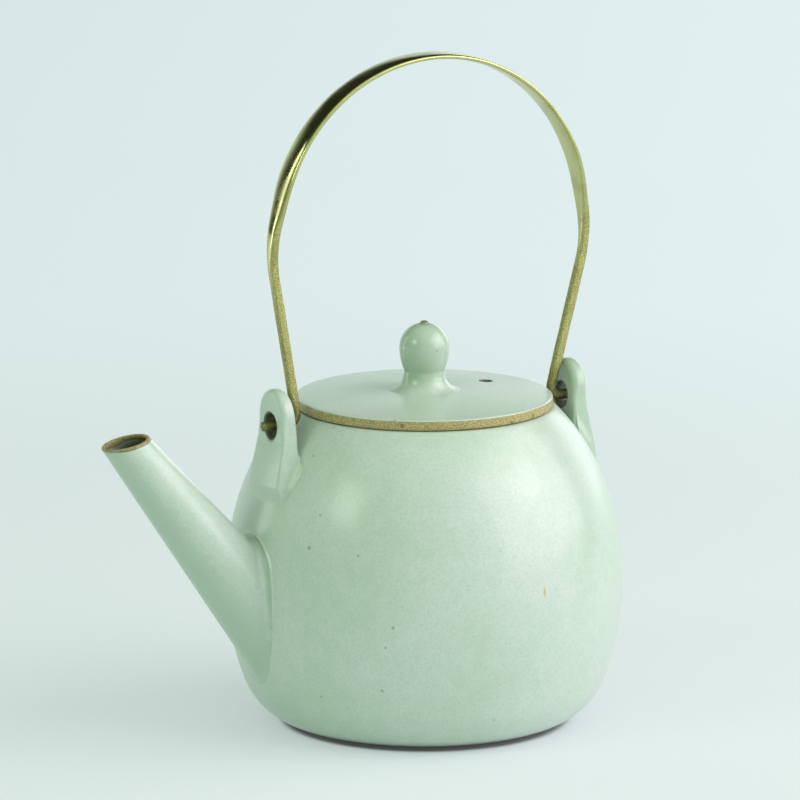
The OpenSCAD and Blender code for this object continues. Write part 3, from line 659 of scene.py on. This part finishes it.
def round_corner(p, v, q, radius, steps=16):
    """The arc of a given radius that replaces corner v between p and q."""
    u, w = unit(np.subtract(p, v)), unit(np.subtract(q, v))
    half = np.arccos(np.clip(u @ w, -1, 1)) / 2
    centre = v + unit(u + w) * radius / np.sin(half)
    a = v + u * radius / np.tan(half) - centre
    b = v + w * radius / np.tan(half) - centre
    way = np.sign(a[0] * b[1] - a[1] * b[0])
    turn = np.arctan2(a[1], a[0]) + way * (np.pi - 2 * half) * np.linspace(0, 1, steps)
    return centre + radius * np.stack([np.cos(turn), np.sin(turn)], axis=-1)


arch_end = np.array([0, ARCH_H]) + ARCH_R * facing(ARCH_TURN)
elbow = arch_end + ARCH_RUN * np.array([facing(ARCH_TURN)[1], -facing(ARCH_TURN)[0]])
rear_knee = lean(elbow)


def leg_start(height, face_x):
    """Where a leg starts at the hinge line so that it clears a face of the ear at a height on the leg."""
    share = height / rear_knee[1]
    pass_x = face_x - LEG_CLEAR - max(LEG_T, 2 * PIN_R) / 2
    return (pass_x - rear_knee[0] * share) / (1 - share)


LEG_X = min(leg_start(EAR_TOP, EAR_IN + EAR_TAPER), leg_start(EAR_W / 2, EAR_IN))


def leg_path(way):
    """One leg from the tip of its turned-out end up to the arch; way is -1 by the spout and 1 at the rear."""
    foot = np.array([way * LEG_X, 0])
    knee = lean([way * elbow[0], elbow[1]])
    top_of_leg = lean([way * arch_end[0], arch_end[1]])
    low = round_corner([way * PIN_END, 0], foot, knee, END_ROUND)
    high = round_corner(foot, knee, top_of_leg, ELBOW_ROUND)
    tip = np.array([[way * PIN_END, 0]])
    return np.vstack([evened(np.vstack([tip, low[:1]]), PIN_STEP)[:-1], low,
                      evened(np.vstack([low[-1:], high[:1]]), LEG_STEP)[1:-1], high,
                      evened(np.vstack([high[-1:], [top_of_leg]]), LEG_STEP)[1:-1]])


arch_path = lean(arc([0, ARCH_H], ARCH_R, 180 - ARCH_TURN, ARCH_TURN, ARCH_RINGS))
bail_path = np.vstack([leg_path(-1), arch_path, leg_path(1)[::-1]])
print(f"bail path: {len(bail_path)} rings, leg starts {LEG_X:.2f} mm from the axis")

# %% The bail's section
GRIP_W, GRIP_T, EDGE_SHARE, CROWN = 10.0, 2.0, 0.3, 0.42
SQUARE_HIGH, TAPER_LOW, TAPER_HIGH = 13.0, 46.0, 84.0
HAMMER, HAMMER_WIDE, HAMMER_LONG, HAMMER_SHORT, HAMMER_SHIFT = 0.05, 0.4, 4.1, 2.3, 1.7
END_ROUNDING, SKIN_IN = 0.7, 0.02
CORNER_POINTS, SIDE_POINTS = 5, 6
corners = []
for k in range(4):
    side_x, side_y = np.sign(facing(90 * k + 45))
    corners += [(side_x, side_y, *facing(90 * k + t)) for t in np.linspace(0, 90, CORNER_POINTS)]
    next_x, next_y = np.sign(facing(90 * k + 135))
    for t in np.linspace(0, 1, SIDE_POINTS + 2)[1:-1]:
        corners.append((side_x + (next_x - side_x) * t, side_y + (next_y - side_y) * t, *facing(90 * k + 90)))
corner_x, corner_y, round_x, round_y = np.array(corners).T
height = bail_path[:, 1]
wide = ease(height, TAPER_LOW, TAPER_HIGH)
square = ease(height, PIN_R, SQUARE_HIGH)
along = np.concatenate([[0], np.cumsum(np.linalg.norm(np.diff(bail_path, axis=0), axis=1))])
blows = 0.5 + 0.25 * np.sin(along / HAMMER_LONG) + 0.25 * np.sin(along / HAMMER_SHORT + HAMMER_SHIFT)
hammered = 1 - HAMMER * square * blows
width = LEG_W + (GRIP_W - LEG_W) * wide
thick = LEG_T + (GRIP_T - LEG_T) * wide
edge_r = PIN_R + (EDGE_SHARE * np.minimum(width, thick) - PIN_R) * square
width = (2 * PIN_R + (width - 2 * PIN_R) * square) * (1 - HAMMER_WIDE * (1 - hammered)) - SKIN_IN
thick = (2 * PIN_R + (thick - 2 * PIN_R) * square) * hammered - SKIN_IN
edge_r = np.minimum(edge_r, np.minimum(width, thick) / 2)
print(f"bail section: {len(corners)} points, grip {width.max():.1f} mm wide")

# %% The bail's surface and polish
FACE_LOW, FACE_HIGH, EDGE_LOW, EDGE_HIGH = 30.0, 66.0, 50.0, 78.0
FACE_SPAN, EDGE_POLISH = (0.72, 0.97), 0.85
from_tip = np.minimum(along, along[-1] - along)
tip_scale = np.sqrt(np.clip(1 - np.clip(1 - from_tip / END_ROUNDING, 0, 1) ** 2, 0, 1))[:, None]
offset_t = corner_x * (thick / 2 - edge_r)[:, None] + edge_r[:, None] * round_x
offset_w = corner_y * (width / 2 - edge_r)[:, None] + edge_r[:, None] * round_y
across_share = offset_w / (width / 2)[:, None]
crowned = CROWN * wide[:, None] * (across_share ** 2 + across_share ** 4) / 2
offset_t = offset_t * (1 - crowned) * tip_scale
offset_w = offset_w * tip_scale
heading = unit(np.gradient(bail_path, axis=0))
bail_grid = np.stack([bail_path[:, :1] - heading[:, 1:] * offset_t, offset_w,
                      HINGE_Z + bail_path[:, 1:] + heading[:, :1] * offset_t], axis=-1)
on_face = 1 - ease(np.abs(across_share), *FACE_SPAN)
face_polish = ease(height, FACE_LOW, FACE_HIGH)[:, None] * on_face
edge_polish = EDGE_POLISH * ease(height, EDGE_LOW, EDGE_HIGH)[:, None] * (1 - on_face)
# The ends by the ears are painted dark as shade in and beside the ears' holes.
bail_masks = {"polish": face_polish + edge_polish, "shaded_end": 1 - square[:, None]}
bail = put_surface("forged_bail", bail_grid, masks=bail_masks)
report(bail)

# %% [markdown]
# ## Shader tools
#
# Materials are built from a few shared groups that only put out values: a noise in the piece's own
# coordinates, and sparse round specks. The surface shader itself stays in each material.

# %% Node helpers
def put_node(tree, kind, inputs=None, **settings):
    """A node with its settings, whose inputs are constants or sockets to link from."""
    node = tree.nodes.new(kind)
    for key, value in settings.items():
        setattr(node, key, value)
    for key, value in (inputs or {}).items():
        if isinstance(value, bpy.types.NodeSocket):
            tree.links.new(value, node.inputs[key])
        else:
            node.inputs[key].default_value = value
    return node


def maths(tree, operation, a, b=0.0):
    """One sum on two values."""
    return put_node(tree, "ShaderNodeMath", {0: a, 1: b}, operation=operation).outputs[0]


def measure(tree, operation, a, b=(0.0, 0.0, 0.0)):
    """One value from two vectors, such as their dot product or distance, or the length of the first."""
    return put_node(tree, "ShaderNodeVectorMath", {0: a, 1: b}, operation=operation).outputs["Value"]


def span(tree, value, low, high, to_low=0.0, to_high=1.0):
    """A value mapped smoothly from one range onto another."""
    inputs = {"Value": value, "From Min": low, "From Max": high, "To Min": to_low, "To Max": to_high}
    return put_node(tree, "ShaderNodeMapRange", inputs, interpolation_type="SMOOTHSTEP").outputs["Result"]


def values(tree, share, a, b):
    """Two values mixed by a share."""
    return put_node(tree, "ShaderNodeMix", {0: share, 2: a, 3: b}, data_type="FLOAT").outputs[0]


def colours(tree, share, a, b):
    """Two colours mixed by a share."""
    inputs = {0: share, 6: a if isinstance(a, bpy.types.NodeSocket) else (*a, 1),
              7: b if isinstance(b, bpy.types.NodeSocket) else (*b, 1)}
    return put_node(tree, "ShaderNodeMix", inputs, data_type="RGBA").outputs[2]


def attribute(tree, name):
    """One of the piece's own masks."""
    return put_node(tree, "ShaderNodeAttribute", attribute_name=name).outputs["Fac"]


def own_place(tree):
    """The piece's own coordinates."""
    return put_node(tree, "ShaderNodeTexCoord").outputs["Object"]


def new_group(name, inputs, output):
    """An empty shader group with float inputs and one float output."""
    group = bpy.data.node_groups.new(name, "ShaderNodeTree")
    for label, value in inputs.items():
        socket = group.interface.new_socket(label, in_out="INPUT", socket_type="NodeSocketFloat")
        socket.default_value = value
    group.interface.new_socket(output, in_out="OUTPUT", socket_type="NodeSocketFloat")
    return group, group.nodes.new("NodeGroupInput").outputs, group.nodes.new("NodeGroupOutput").inputs


def use_group(tree, group, **inputs):
    """The value that a group puts out in another tree."""
    node = tree.nodes.new("ShaderNodeGroup")
    node.node_tree = group
    for key, value in inputs.items():
        node.inputs[key].default_value = value
    return node.outputs[0]


def clean_tree(owner):
    """The node tree of a material or a world, with nothing in it."""
    owner.use_nodes = True
    owner.node_tree.nodes.clear()
    return owner.node_tree


def new_material(name):
    """A material with only a Principled surface and its output."""
    material = bpy.data.materials.new(name)
    tree = clean_tree(material)
    surface = tree.nodes.new("ShaderNodeBsdfPrincipled")
    out = tree.nodes.new("ShaderNodeOutputMaterial")
    tree.links.new(surface.outputs[0], out.inputs[0])
    return material, tree, surface


# %% Shared groups
SPECK_LEAST, SPECK_SOFT = 0.4, 0.06
cloud, given, put_out = new_group("cloud", {"Scale": 30.0, "Detail": 3.0, "Low": 0.3, "High": 0.7}, "Value")
noise = put_node(cloud, "ShaderNodeTexNoise",
                 {"Vector": own_place(cloud), "Scale": given["Scale"], "Detail": given["Detail"]})
cloud.links.new(span(cloud, noise.outputs[0], given["Low"], given["High"]), put_out["Value"])

specks, given, put_out = new_group("specks", {"Scale": 120.0, "Share": 0.1, "Radius": 0.2}, "Mask")
cells = put_node(specks, "ShaderNodeTexVoronoi", {"Vector": own_place(specks), "Scale": given["Scale"]})
pick = put_node(specks, "ShaderNodeSeparateColor", {0: cells.outputs["Color"]})
chosen = maths(specks, "LESS_THAN", pick.outputs[0], given["Share"])
size = maths(specks, "MULTIPLY", given["Radius"], maths(specks, "ADD", pick.outputs[1], SPECK_LEAST))
dot = span(specks, maths(specks, "SUBTRACT", size, cells.outputs["Distance"]), 0.0, SPECK_SOFT)
specks.links.new(maths(specks, "MULTIPLY", dot, chosen), put_out["Mask"])
print("groups:", cloud.name, specks.name)

# %% [markdown]
# ## Glaze and clay
#
# The glaze is a satin celadon. Two greens drift into each other over the pot, a mottle and two finer grains
# break them up, and iron from the clay comes through as brown specks. Where the mask called bare is set the
# glaze stops in a dark line, and dry toasted clay shows. Painted pictures could do this too, but values
# worked out in a piece's own coordinates need no unwrapping and run on across every seam.

# %% Celadon colours
GLAZE_DEEP, GLAZE_PALE = (0.465, 0.58, 0.46), (0.535, 0.61, 0.545)
GLAZE_LIGHT, GLAZE_FLECK = (0.61, 0.67, 0.615), (0.38, 0.48, 0.36)
GLAZE_POOL_AND_SHADE, GLAZE_THIN = (0.40, 0.51, 0.39), (0.17, 0.20, 0.12)
MOTTLE_SHARE, FINE_SHARE, GRAIN_SHARE, FLECK_FROM = 0.30, 0.34, 0.30, 0.3

glaze, tree, surface = new_material("celadon_glaze")
drift = use_group(tree, cloud, Scale=26.0, Detail=2.5, Low=0.33, High=0.67)
mottle = use_group(tree, cloud, Scale=190.0, Detail=4.0, Low=0.25, High=0.75)
fine = use_group(tree, cloud, Scale=1100.0, Detail=3.0, Low=0.2, High=0.8)
grain = use_group(tree, cloud, Scale=1900.0, Detail=2.0, Low=0.33, High=0.67)
colour = colours(tree, drift, GLAZE_DEEP, GLAZE_PALE)
colour = colours(tree, span(tree, mottle, 0, 1, 0.0, MOTTLE_SHARE), colour, GLAZE_LIGHT)
colour = colours(tree, span(tree, fine, FLECK_FROM, 1, 0.0, FINE_SHARE), colour, GLAZE_FLECK)
colour = colours(tree, span(tree, grain, FLECK_FROM, 1, 0.0, GRAIN_SHARE), colour, GLAZE_FLECK)
# A deeper green for pooled glaze on the knob, the rim and the ears' fillets, and painted shade in the spout's
# crease, under the spout and on the rear ear.
colour = colours(tree, attribute(tree, "pool_and_shade"), colour, GLAZE_POOL_AND_SHADE)
colour = colours(tree, attribute(tree, "thin"), colour, GLAZE_THIN)
print("celadon colours:", len(tree.nodes), "nodes so far")

# %% Iron specks
IRON, AMBER, IRON_SHARE, SMALL_SHARE = (0.20, 0.21, 0.10), (0.45, 0.36, 0.08), 0.65, 0.45
IRON_SPOTS = [(-56.5, -27.2, 68.3, 0.9), (-46.6, -42.2, 67.7, 0.7), (-52.7, -27.5, 78.8, 0.6),
              (-39.3, -52.3, 45.3, 0.8), (-41.1, -50.5, 38.6, 0.6), (-40.8, -47.6, 23.7, 0.7),
              (-53.7, -29.9, 19.3, 0.6), (-48.5, -14.6, 95.3, 0.6), (-27.8, -31.7, 108.2, 0.9),
              (0.3, -8.2, 124.0, 0.5)]
SPOT_CORE, SPOT_SHARE = 0.4, 0.9
AMBER_AT, AMBER_R, AMBER_CORE, AMBER_SHARE = (9.5 * MM, -64.4 * MM, 54.2 * MM), 0.9, 0.2, 0.8
AMBER_STRETCH = (1, 1, 0.4)

rare = use_group(tree, specks, Scale=62.0, Share=0.10, Radius=0.055)
small = use_group(tree, specks, Scale=170.0, Share=0.08, Radius=0.11)
spots = maths(tree, "MAXIMUM", rare, maths(tree, "MULTIPLY", small, SMALL_SHARE))
place = own_place(tree)
for x, y, z, radius in IRON_SPOTS:
    away = measure(tree, "DISTANCE", place, (x * MM, y * MM, z * MM))
    spot = span(tree, away, radius * SPOT_CORE * MM, radius * MM, SPOT_SHARE, 0.0)
    spots = maths(tree, "MAXIMUM", spots, spot)
colour = colours(tree, maths(tree, "MULTIPLY", spots, IRON_SHARE), colour, IRON)
away = put_node(tree, "ShaderNodeVectorMath", {0: place, 1: AMBER_AT}, operation="SUBTRACT").outputs[0]
away = put_node(tree, "ShaderNodeVectorMath", {0: away, 1: AMBER_STRETCH}, operation="MULTIPLY").outputs[0]
drop = span(tree, measure(tree, "LENGTH", away), AMBER_CORE * MM, AMBER_R * MM, AMBER_SHARE, 0.0)
colour = colours(tree, drop, colour, AMBER)
print("specks:", len(IRON_SPOTS), "placed by hand, the rest by cells")

# %% Toasted clay, tea stains and painted shade
CLAY_LIGHT, CLAY_DARK, CLAY_LINE = (0.46, 0.385, 0.16), (0.28, 0.225, 0.085), (0.10, 0.08, 0.035)
TEA_STAIN_AND_SHADE, DARKENING_LEAST, DARKENING_MOST = (0.055, 0.05, 0.02), 0.86, 0.97
RAGGED, BARE_SPAN, LINE_SPAN, CLAY_SPAN, BURNT_SHARE = 0.12, (0.3, 0.5), (0.35, 0.75), (0.2, 0.8), 0.7

ragged = maths(tree, "ADD", attribute(tree, "bare"), span(tree, mottle, 0, 1, -RAGGED, RAGGED))
clay = colours(tree, span(tree, grain, *CLAY_SPAN), CLAY_DARK, CLAY_LIGHT)
clay = colours(tree, span(tree, ragged, *LINE_SPAN, 1.0, 0.0), clay, CLAY_LINE)
burnt = use_group(tree, specks, Scale=300.0, Share=0.16, Radius=0.20)
clay = colours(tree, maths(tree, "MULTIPLY", burnt, BURNT_SHARE), clay, CLAY_LINE)
bare = span(tree, ragged, *BARE_SPAN)
colour = colours(tree, bare, colour, clay)
# The darkening mask mixes in near black: tea stains on the spout's lip, and painted shade at the foot, in the
# bore, in the ears' holes and in the steam hole.
darkening = maths(tree, "MULTIPLY", attribute(tree, "darkening"), span(tree, fine, 0, 1, DARKENING_LEAST, DARKENING_MOST))
colour = colours(tree, darkening, colour, TEA_STAIN_AND_SHADE)
print("clay and stain:", len(tree.nodes), "nodes so far")

# %% Sheen and relief of the glaze
SATIN, POOL_ROUGH, CLAY_ROUGH = (0.29, 0.35), 0.23, 0.75
FINE_BUMP, MOTTLE_BUMP, CLAY_BUMP, BUMP_STRENGTH, BUMP_HIGH = 0.5, 0.8, 1.5, 0.22, 0.12
COAT, COAT_ROUGH = 0.3, 0.14

rough = values(tree, attribute(tree, "pool_and_shade"), span(tree, mottle, 0, 1, *SATIN), POOL_ROUGH)
rough = values(tree, bare, rough, CLAY_ROUGH)
bumps = maths(tree, "MULTIPLY", fine, FINE_BUMP)
bumps = maths(tree, "ADD", bumps, maths(tree, "MULTIPLY", mottle, MOTTLE_BUMP))
bumps = maths(tree, "ADD", bumps, maths(tree, "MULTIPLY", maths(tree, "MULTIPLY", grain, bare), CLAY_BUMP))
bump = put_node(tree, "ShaderNodeBump",
                {"Strength": BUMP_STRENGTH, "Distance": BUMP_HIGH * MM, "Height": bumps})
tree.links.new(colour, surface.inputs["Base Color"])
tree.links.new(rough, surface.inputs["Roughness"])
tree.links.new(bump.outputs[0], surface.inputs["Normal"])
surface.inputs["Coat Weight"].default_value = COAT
surface.inputs["Coat Roughness"].default_value = COAT_ROUGH
print("material:", glaze.name, len(tree.nodes), "nodes")

# %% [markdown]
# ## Brass
#
# The wide faces of the grip are polished by hands; the legs and the narrow edges keep the grainy skin of
# the forge. Two materials would meet in a hard line, so one material has both, and the mask called polish
# moves the roughness, the dents and the colour between them.

# %% Brass
BRASS_BRIGHT, BRASS_DULL, BRASS_DARK = (0.56, 0.56, 0.25), (0.54, 0.52, 0.20), (0.16, 0.15, 0.06)
SKIN_SHARE, STAIN_SHARE, END_SHARE = 0.75, 0.25, 0.6
FORGED_ROUGH, POLISHED_ROUGH, STAIN_ROUGH = 0.46, 0.10, 0.10
FORGED_DENTS, POLISHED_DENTS, DENT_HIGH = 0.45, 0.02, 0.2

brass, tree, surface = new_material("brass")
shine = attribute(tree, "polish")
skin = use_group(tree, cloud, Scale=2200.0, Detail=3.0, Low=0.3, High=0.7)
darkening = use_group(tree, cloud, Scale=120.0, Detail=3.0, Low=0.35, High=0.75)
dull = colours(tree, span(tree, skin, 0, 1, 0.0, SKIN_SHARE), BRASS_DULL, BRASS_DARK)
colour = colours(tree, shine, dull, BRASS_BRIGHT)
colour = colours(tree, span(tree, darkening, 0, 1, 0.0, STAIN_SHARE), colour, BRASS_DARK)
# Painted shade on the ends in and beside the ears' holes.
colour = colours(tree, maths(tree, "MULTIPLY", attribute(tree, "shaded_end"), END_SHARE), colour, BRASS_DARK)
rough = values(tree, shine, FORGED_ROUGH, POLISHED_ROUGH)
rough = maths(tree, "ADD", rough, span(tree, darkening, 0, 1, 0.0, STAIN_ROUGH))
dents = values(tree, shine, FORGED_DENTS, POLISHED_DENTS)
bump = put_node(tree, "ShaderNodeBump", {"Strength": dents, "Distance": DENT_HIGH * MM, "Height": skin})
surface.inputs["Metallic"].default_value = 1.0
tree.links.new(colour, surface.inputs["Base Color"])
tree.links.new(rough, surface.inputs["Roughness"])
tree.links.new(bump.outputs[0], surface.inputs["Normal"])
print("material:", brass.name, len(tree.nodes), "nodes")

# %% [markdown]
# ## Dressing the frame
#
# Each piece takes its material, rides on the body that it belongs to, and stands for its CAD node. The
# strainer inside the pot stays the CAD node and only takes the glaze.

# %% Pieces, bodies and slots
dress = [
    (pot, "pot", "pot_body", glaze, "celadon_glaze"),
    (spout, "pot", "spout", glaze, "celadon_glaze"),
    (ears[0], "pot", "spout_side_ear", glaze, "celadon_glaze"),
    (ears[1], "pot", "rear_ear", glaze, "celadon_glaze"),
    (lid, "lid", "lid", glaze, "celadon_glaze"),
    (knob, "lid", "lid_knob", glaze, "celadon_glaze"),
    (bail, "bail", "bail_handle", brass, "brass"),
]
for piece, body, node, material, slot in dress:
    piece.data.materials.clear()
    piece.data.materials.append(material)
    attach(piece, body)
    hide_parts(node)
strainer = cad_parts["spout_strainer"]
strainer.data.materials.clear()
strainer.data.materials.append(glaze)
print("dressed:", len(dress), "pieces and", strainer.name)

# %% [markdown]
# ## The studio
#
# The camera is a long lens 2.2 m away, 12 degrees above the pot and 28 degrees round towards the spout. Five
# lamps light the pot: a large soft key at the right with a small brighter window in it, a fill in front on
# the left, a soft one overhead, and a narrow strip behind on the left that draws one line on the brass.

# %% Camera
CAMERA_TURN, CAMERA_LIFT, CAMERA_FAR = -28.0, 11.8, 2200.0
LENS, SENSOR, CLIP_END = 302.6, 36.0, 20.0
AIM_Z, AIM_LEFT, AIM_UP = 104.5, 7.95, 1.7
side_way, front_way = facing(CAMERA_TURN), facing(CAMERA_LIFT)
right = np.array([side_way[0], side_way[1], 0])
back = np.array([side_way[1] * front_way[0], -side_way[0] * front_way[0], front_way[1]])
up = np.cross(back, right)
aim = np.array([0, 0, AIM_Z]) - right * AIM_LEFT + up * AIM_UP
camera_data = bpy.data.cameras.new("camera")
camera_data.lens = LENS
camera_data.sensor_width = SENSOR
camera_data.clip_end = CLIP_END
camera = put_object("camera", camera_data)
turn = Matrix([right, up, back]).transposed().to_4x4()
camera.matrix_world = Matrix.Translation(Vector((aim + back * CAMERA_FAR) * MM)) @ turn
bpy.context.scene.camera = camera
bpy.context.scene.view_settings.view_transform = "Standard"
print(f"camera: {LENS} mm lens, {CAMERA_FAR * MM} m away")

# %% Lamps
LAMP_AIM = (0, 0, 0.09)
# Name, degrees right of the camera, degrees up, metres away, width, height, watts and tint
LAMPS = [
    ("key", 80, 29, 1.4, 1.7, 1.3, 18.2, (1.0, 0.91, 1.0)),
    ("window", 80, 32, 1.4, 0.5, 0.4, 1.7, (1.0, 0.95, 1.0)),
    ("fill", -54, 30, 1.3, 0.4, 0.4, 2.3, (0.80, 1.0, 0.78)),
    ("top", -5, 80, 1.5, 2.0, 2.0, 6.2, (0.95, 1.0, 0.94)),
    ("strip", -110, 12, 0.6, 0.09, 0.5, 0.36, (0.95, 1.0, 0.95)),
]


def toward(azimuth, elevation):
    """A direction counted from the camera: degrees to its right and degrees above level."""
    flat = facing(azimuth)
    ahead = np.array([back[0], back[1], 0]) / np.hypot(back[0], back[1])
    level = flat[0] * ahead + flat[1] * right
    c, s = facing(elevation)
    return c * level + s * np.array([0, 0, 1.0])


def put_lamp(name, azimuth, elevation, far, width, height, power, tint):
    """A rectangular lamp at a direction from the camera, facing the middle of the pot."""
    data = bpy.data.lights.new(name, "AREA")
    data.shape = "RECTANGLE"
    data.size = width
    data.size_y = height
    data.energy = power
    data.color = tint
    lamp = put_object(name, data)
    way = Vector(toward(azimuth, elevation))
    lamp.location = way * far + Vector(LAMP_AIM)
    lamp.rotation_euler = way.to_track_quat("Z", "Y").to_euler()
    lamp.visible_camera = False


for lamp in LAMPS:
    put_lamp(*lamp)
print("lamps:", ", ".join(lamp[0] for lamp in LAMPS))

# %% [markdown]
# ## What the glaze and the brass mirror
#
# Shiny things show the room round them. A photographed room could be used, but a few soft fields of colour
# are easier to place. The room is a dim green, with a pale wall to the right behind the camera. Only
# mirrored rays see, behind the pot, a pale sweep of paper that is brighter at the right, and the dark end
# of the room above it.

# %% World
PALE, ROOM, FRONT = (0.735, 0.855, 0.88), (0.275, 0.375, 0.265), (0.76, 0.85, 0.80)
SHEEN, DARK = (1.60, 1.83, 1.80), (0.03, 0.035, 0.02)
FRONT_WAY, FRONT_SPAN, SHEEN_SPAN = (30, 5), (0.35, 0.95), (-0.05, 0.3)
DARK_SPAN, SWEEP_AHEAD, SWEEP_RISE = (-0.1, 0.5), (0.55, 0.8), (0.26, 0.42)
world = bpy.data.worlds.new("studio")
bpy.context.scene.world = world
tree = clean_tree(world)
path = tree.nodes.new("ShaderNodeLightPath").outputs
look = put_node(tree, "ShaderNodeTexCoord").outputs["Generated"]
rise = put_node(tree, "ShaderNodeSeparateXYZ", {0: look}).outputs["Z"]
ahead = measure(tree, "DOT_PRODUCT", look, toward(180, 0))
to_front = measure(tree, "DOT_PRODUCT", look, toward(*FRONT_WAY))
to_right = measure(tree, "DOT_PRODUCT", look, right)
room = colours(tree, span(tree, to_front, *FRONT_SPAN), ROOM, FRONT)
mirror_room = colours(tree, span(tree, ahead, *DARK_SPAN), room, DARK)
backdrop = colours(tree, span(tree, to_right, *SHEEN_SPAN), PALE, SHEEN)
sweep = maths(tree, "MULTIPLY", span(tree, ahead, *SWEEP_AHEAD), span(tree, rise, *SWEEP_RISE, 1.0, 0.0))
mirrored = maths(tree, "MAXIMUM", path["Is Glossy Ray"], path["Is Transmission Ray"])
seen = colours(tree, mirrored, room, colours(tree, sweep, mirror_room, backdrop))
seen = colours(tree, path["Is Camera Ray"], seen, PALE)
light = put_node(tree, "ShaderNodeBackground", {"Color": seen, "Strength": 1.0})
out = tree.nodes.new("ShaderNodeOutputWorld")
tree.links.new(light.outputs[0], out.inputs[0])
print("world:", world.name, len(tree.nodes), "nodes")

# %% [markdown]
# ## The floor
#
# The pot stands on a wide pale sheet that fills the picture up to its top. Near the pot the lamps light the
# sheet over a weak glow, so that it keeps the shadow. Farther away the glow takes over, because lamps alone
# would leave it uneven. A painted shadow, a dark patch in the glow under the pot, shows as a thin line round
# its foot. Rays that only bring light see plain paper.

# %% Floor
FLOOR_HALF, FLOOR_DROP = 6.0, 0.0002
GLOW_NEAR, GLOW_FAR, LIT_SPAN = 0.485, 0.93, (0.25, 0.75)
WARM_PALE, HAZE_SPAN, RIGHT_SPAN, RIGHT_GLOW = (0.76, 0.87, 0.85), (0.3, 0.7), (-0.5, 0.6), (0.94, 1.10)
CONTACT_SPAN, CONTACT_DARK = (0.0455, 0.0490), 0.1
LIT_PAPER, FAR_PAPER, PLAIN_PAPER = (0.38, 0.39, 0.40), (0.04, 0.04, 0.04), (0.80, 0.87, 0.90, 1)
floor_mesh = bpy.data.meshes.new("floor")
floor_corners = [(x * FLOOR_HALF, y * FLOOR_HALF, 0) for x, y in ((-1, -1), (1, -1), (1, 1), (-1, 1))]
floor_mesh.from_pydata(floor_corners, [], [(0, 1, 2, 3)])
floor = put_object("floor", floor_mesh)
floor.location.z = -FLOOR_DROP
paper = bpy.data.materials.new("paper")
tree = clean_tree(paper)
path = tree.nodes.new("ShaderNodeLightPath").outputs
seen = maths(tree, "MAXIMUM", path["Is Camera Ray"], path["Is Glossy Ray"])
seen = maths(tree, "MAXIMUM", seen, path["Is Transmission Ray"])
haze = use_group(tree, cloud, Scale=1.3, Detail=1.0, Low=0.2, High=0.8)
sheet = colours(tree, span(tree, haze, 0, 1, *HAZE_SPAN), PALE, WARM_PALE)
place = own_place(tree)
far_away = measure(tree, "LENGTH", place)
to_right = measure(tree, "DOT_PRODUCT", place, right)
strength = span(tree, far_away, *LIT_SPAN, GLOW_NEAR, GLOW_FAR)
strength = maths(tree, "MULTIPLY", strength, span(tree, to_right, *RIGHT_SPAN, *RIGHT_GLOW))
# Painted contact shadow: the glow drops to a tenth under the pot's foot.
contact = span(tree, far_away, *CONTACT_SPAN, CONTACT_DARK, 1.0)
strength = maths(tree, "MULTIPLY", strength, contact)
glow = put_node(tree, "ShaderNodeEmission", {"Color": sheet, "Strength": strength})
lit_colour = colours(tree, span(tree, far_away, *LIT_SPAN), LIT_PAPER, FAR_PAPER)
lit = put_node(tree, "ShaderNodeBsdfDiffuse", {"Color": lit_colour})
both = put_node(tree, "ShaderNodeAddShader", {0: glow.outputs[0], 1: lit.outputs[0]})
plain = put_node(tree, "ShaderNodeBsdfDiffuse", {"Color": PLAIN_PAPER})
mixed = put_node(tree, "ShaderNodeMixShader", {0: seen, 1: plain.outputs[0], 2: both.outputs[0]})
out = tree.nodes.new("ShaderNodeOutputMaterial")
tree.links.new(mixed.outputs[0], out.inputs[0])
floor_mesh.materials.append(paper)
print("floor:", paper.name, len(tree.nodes), "nodes")
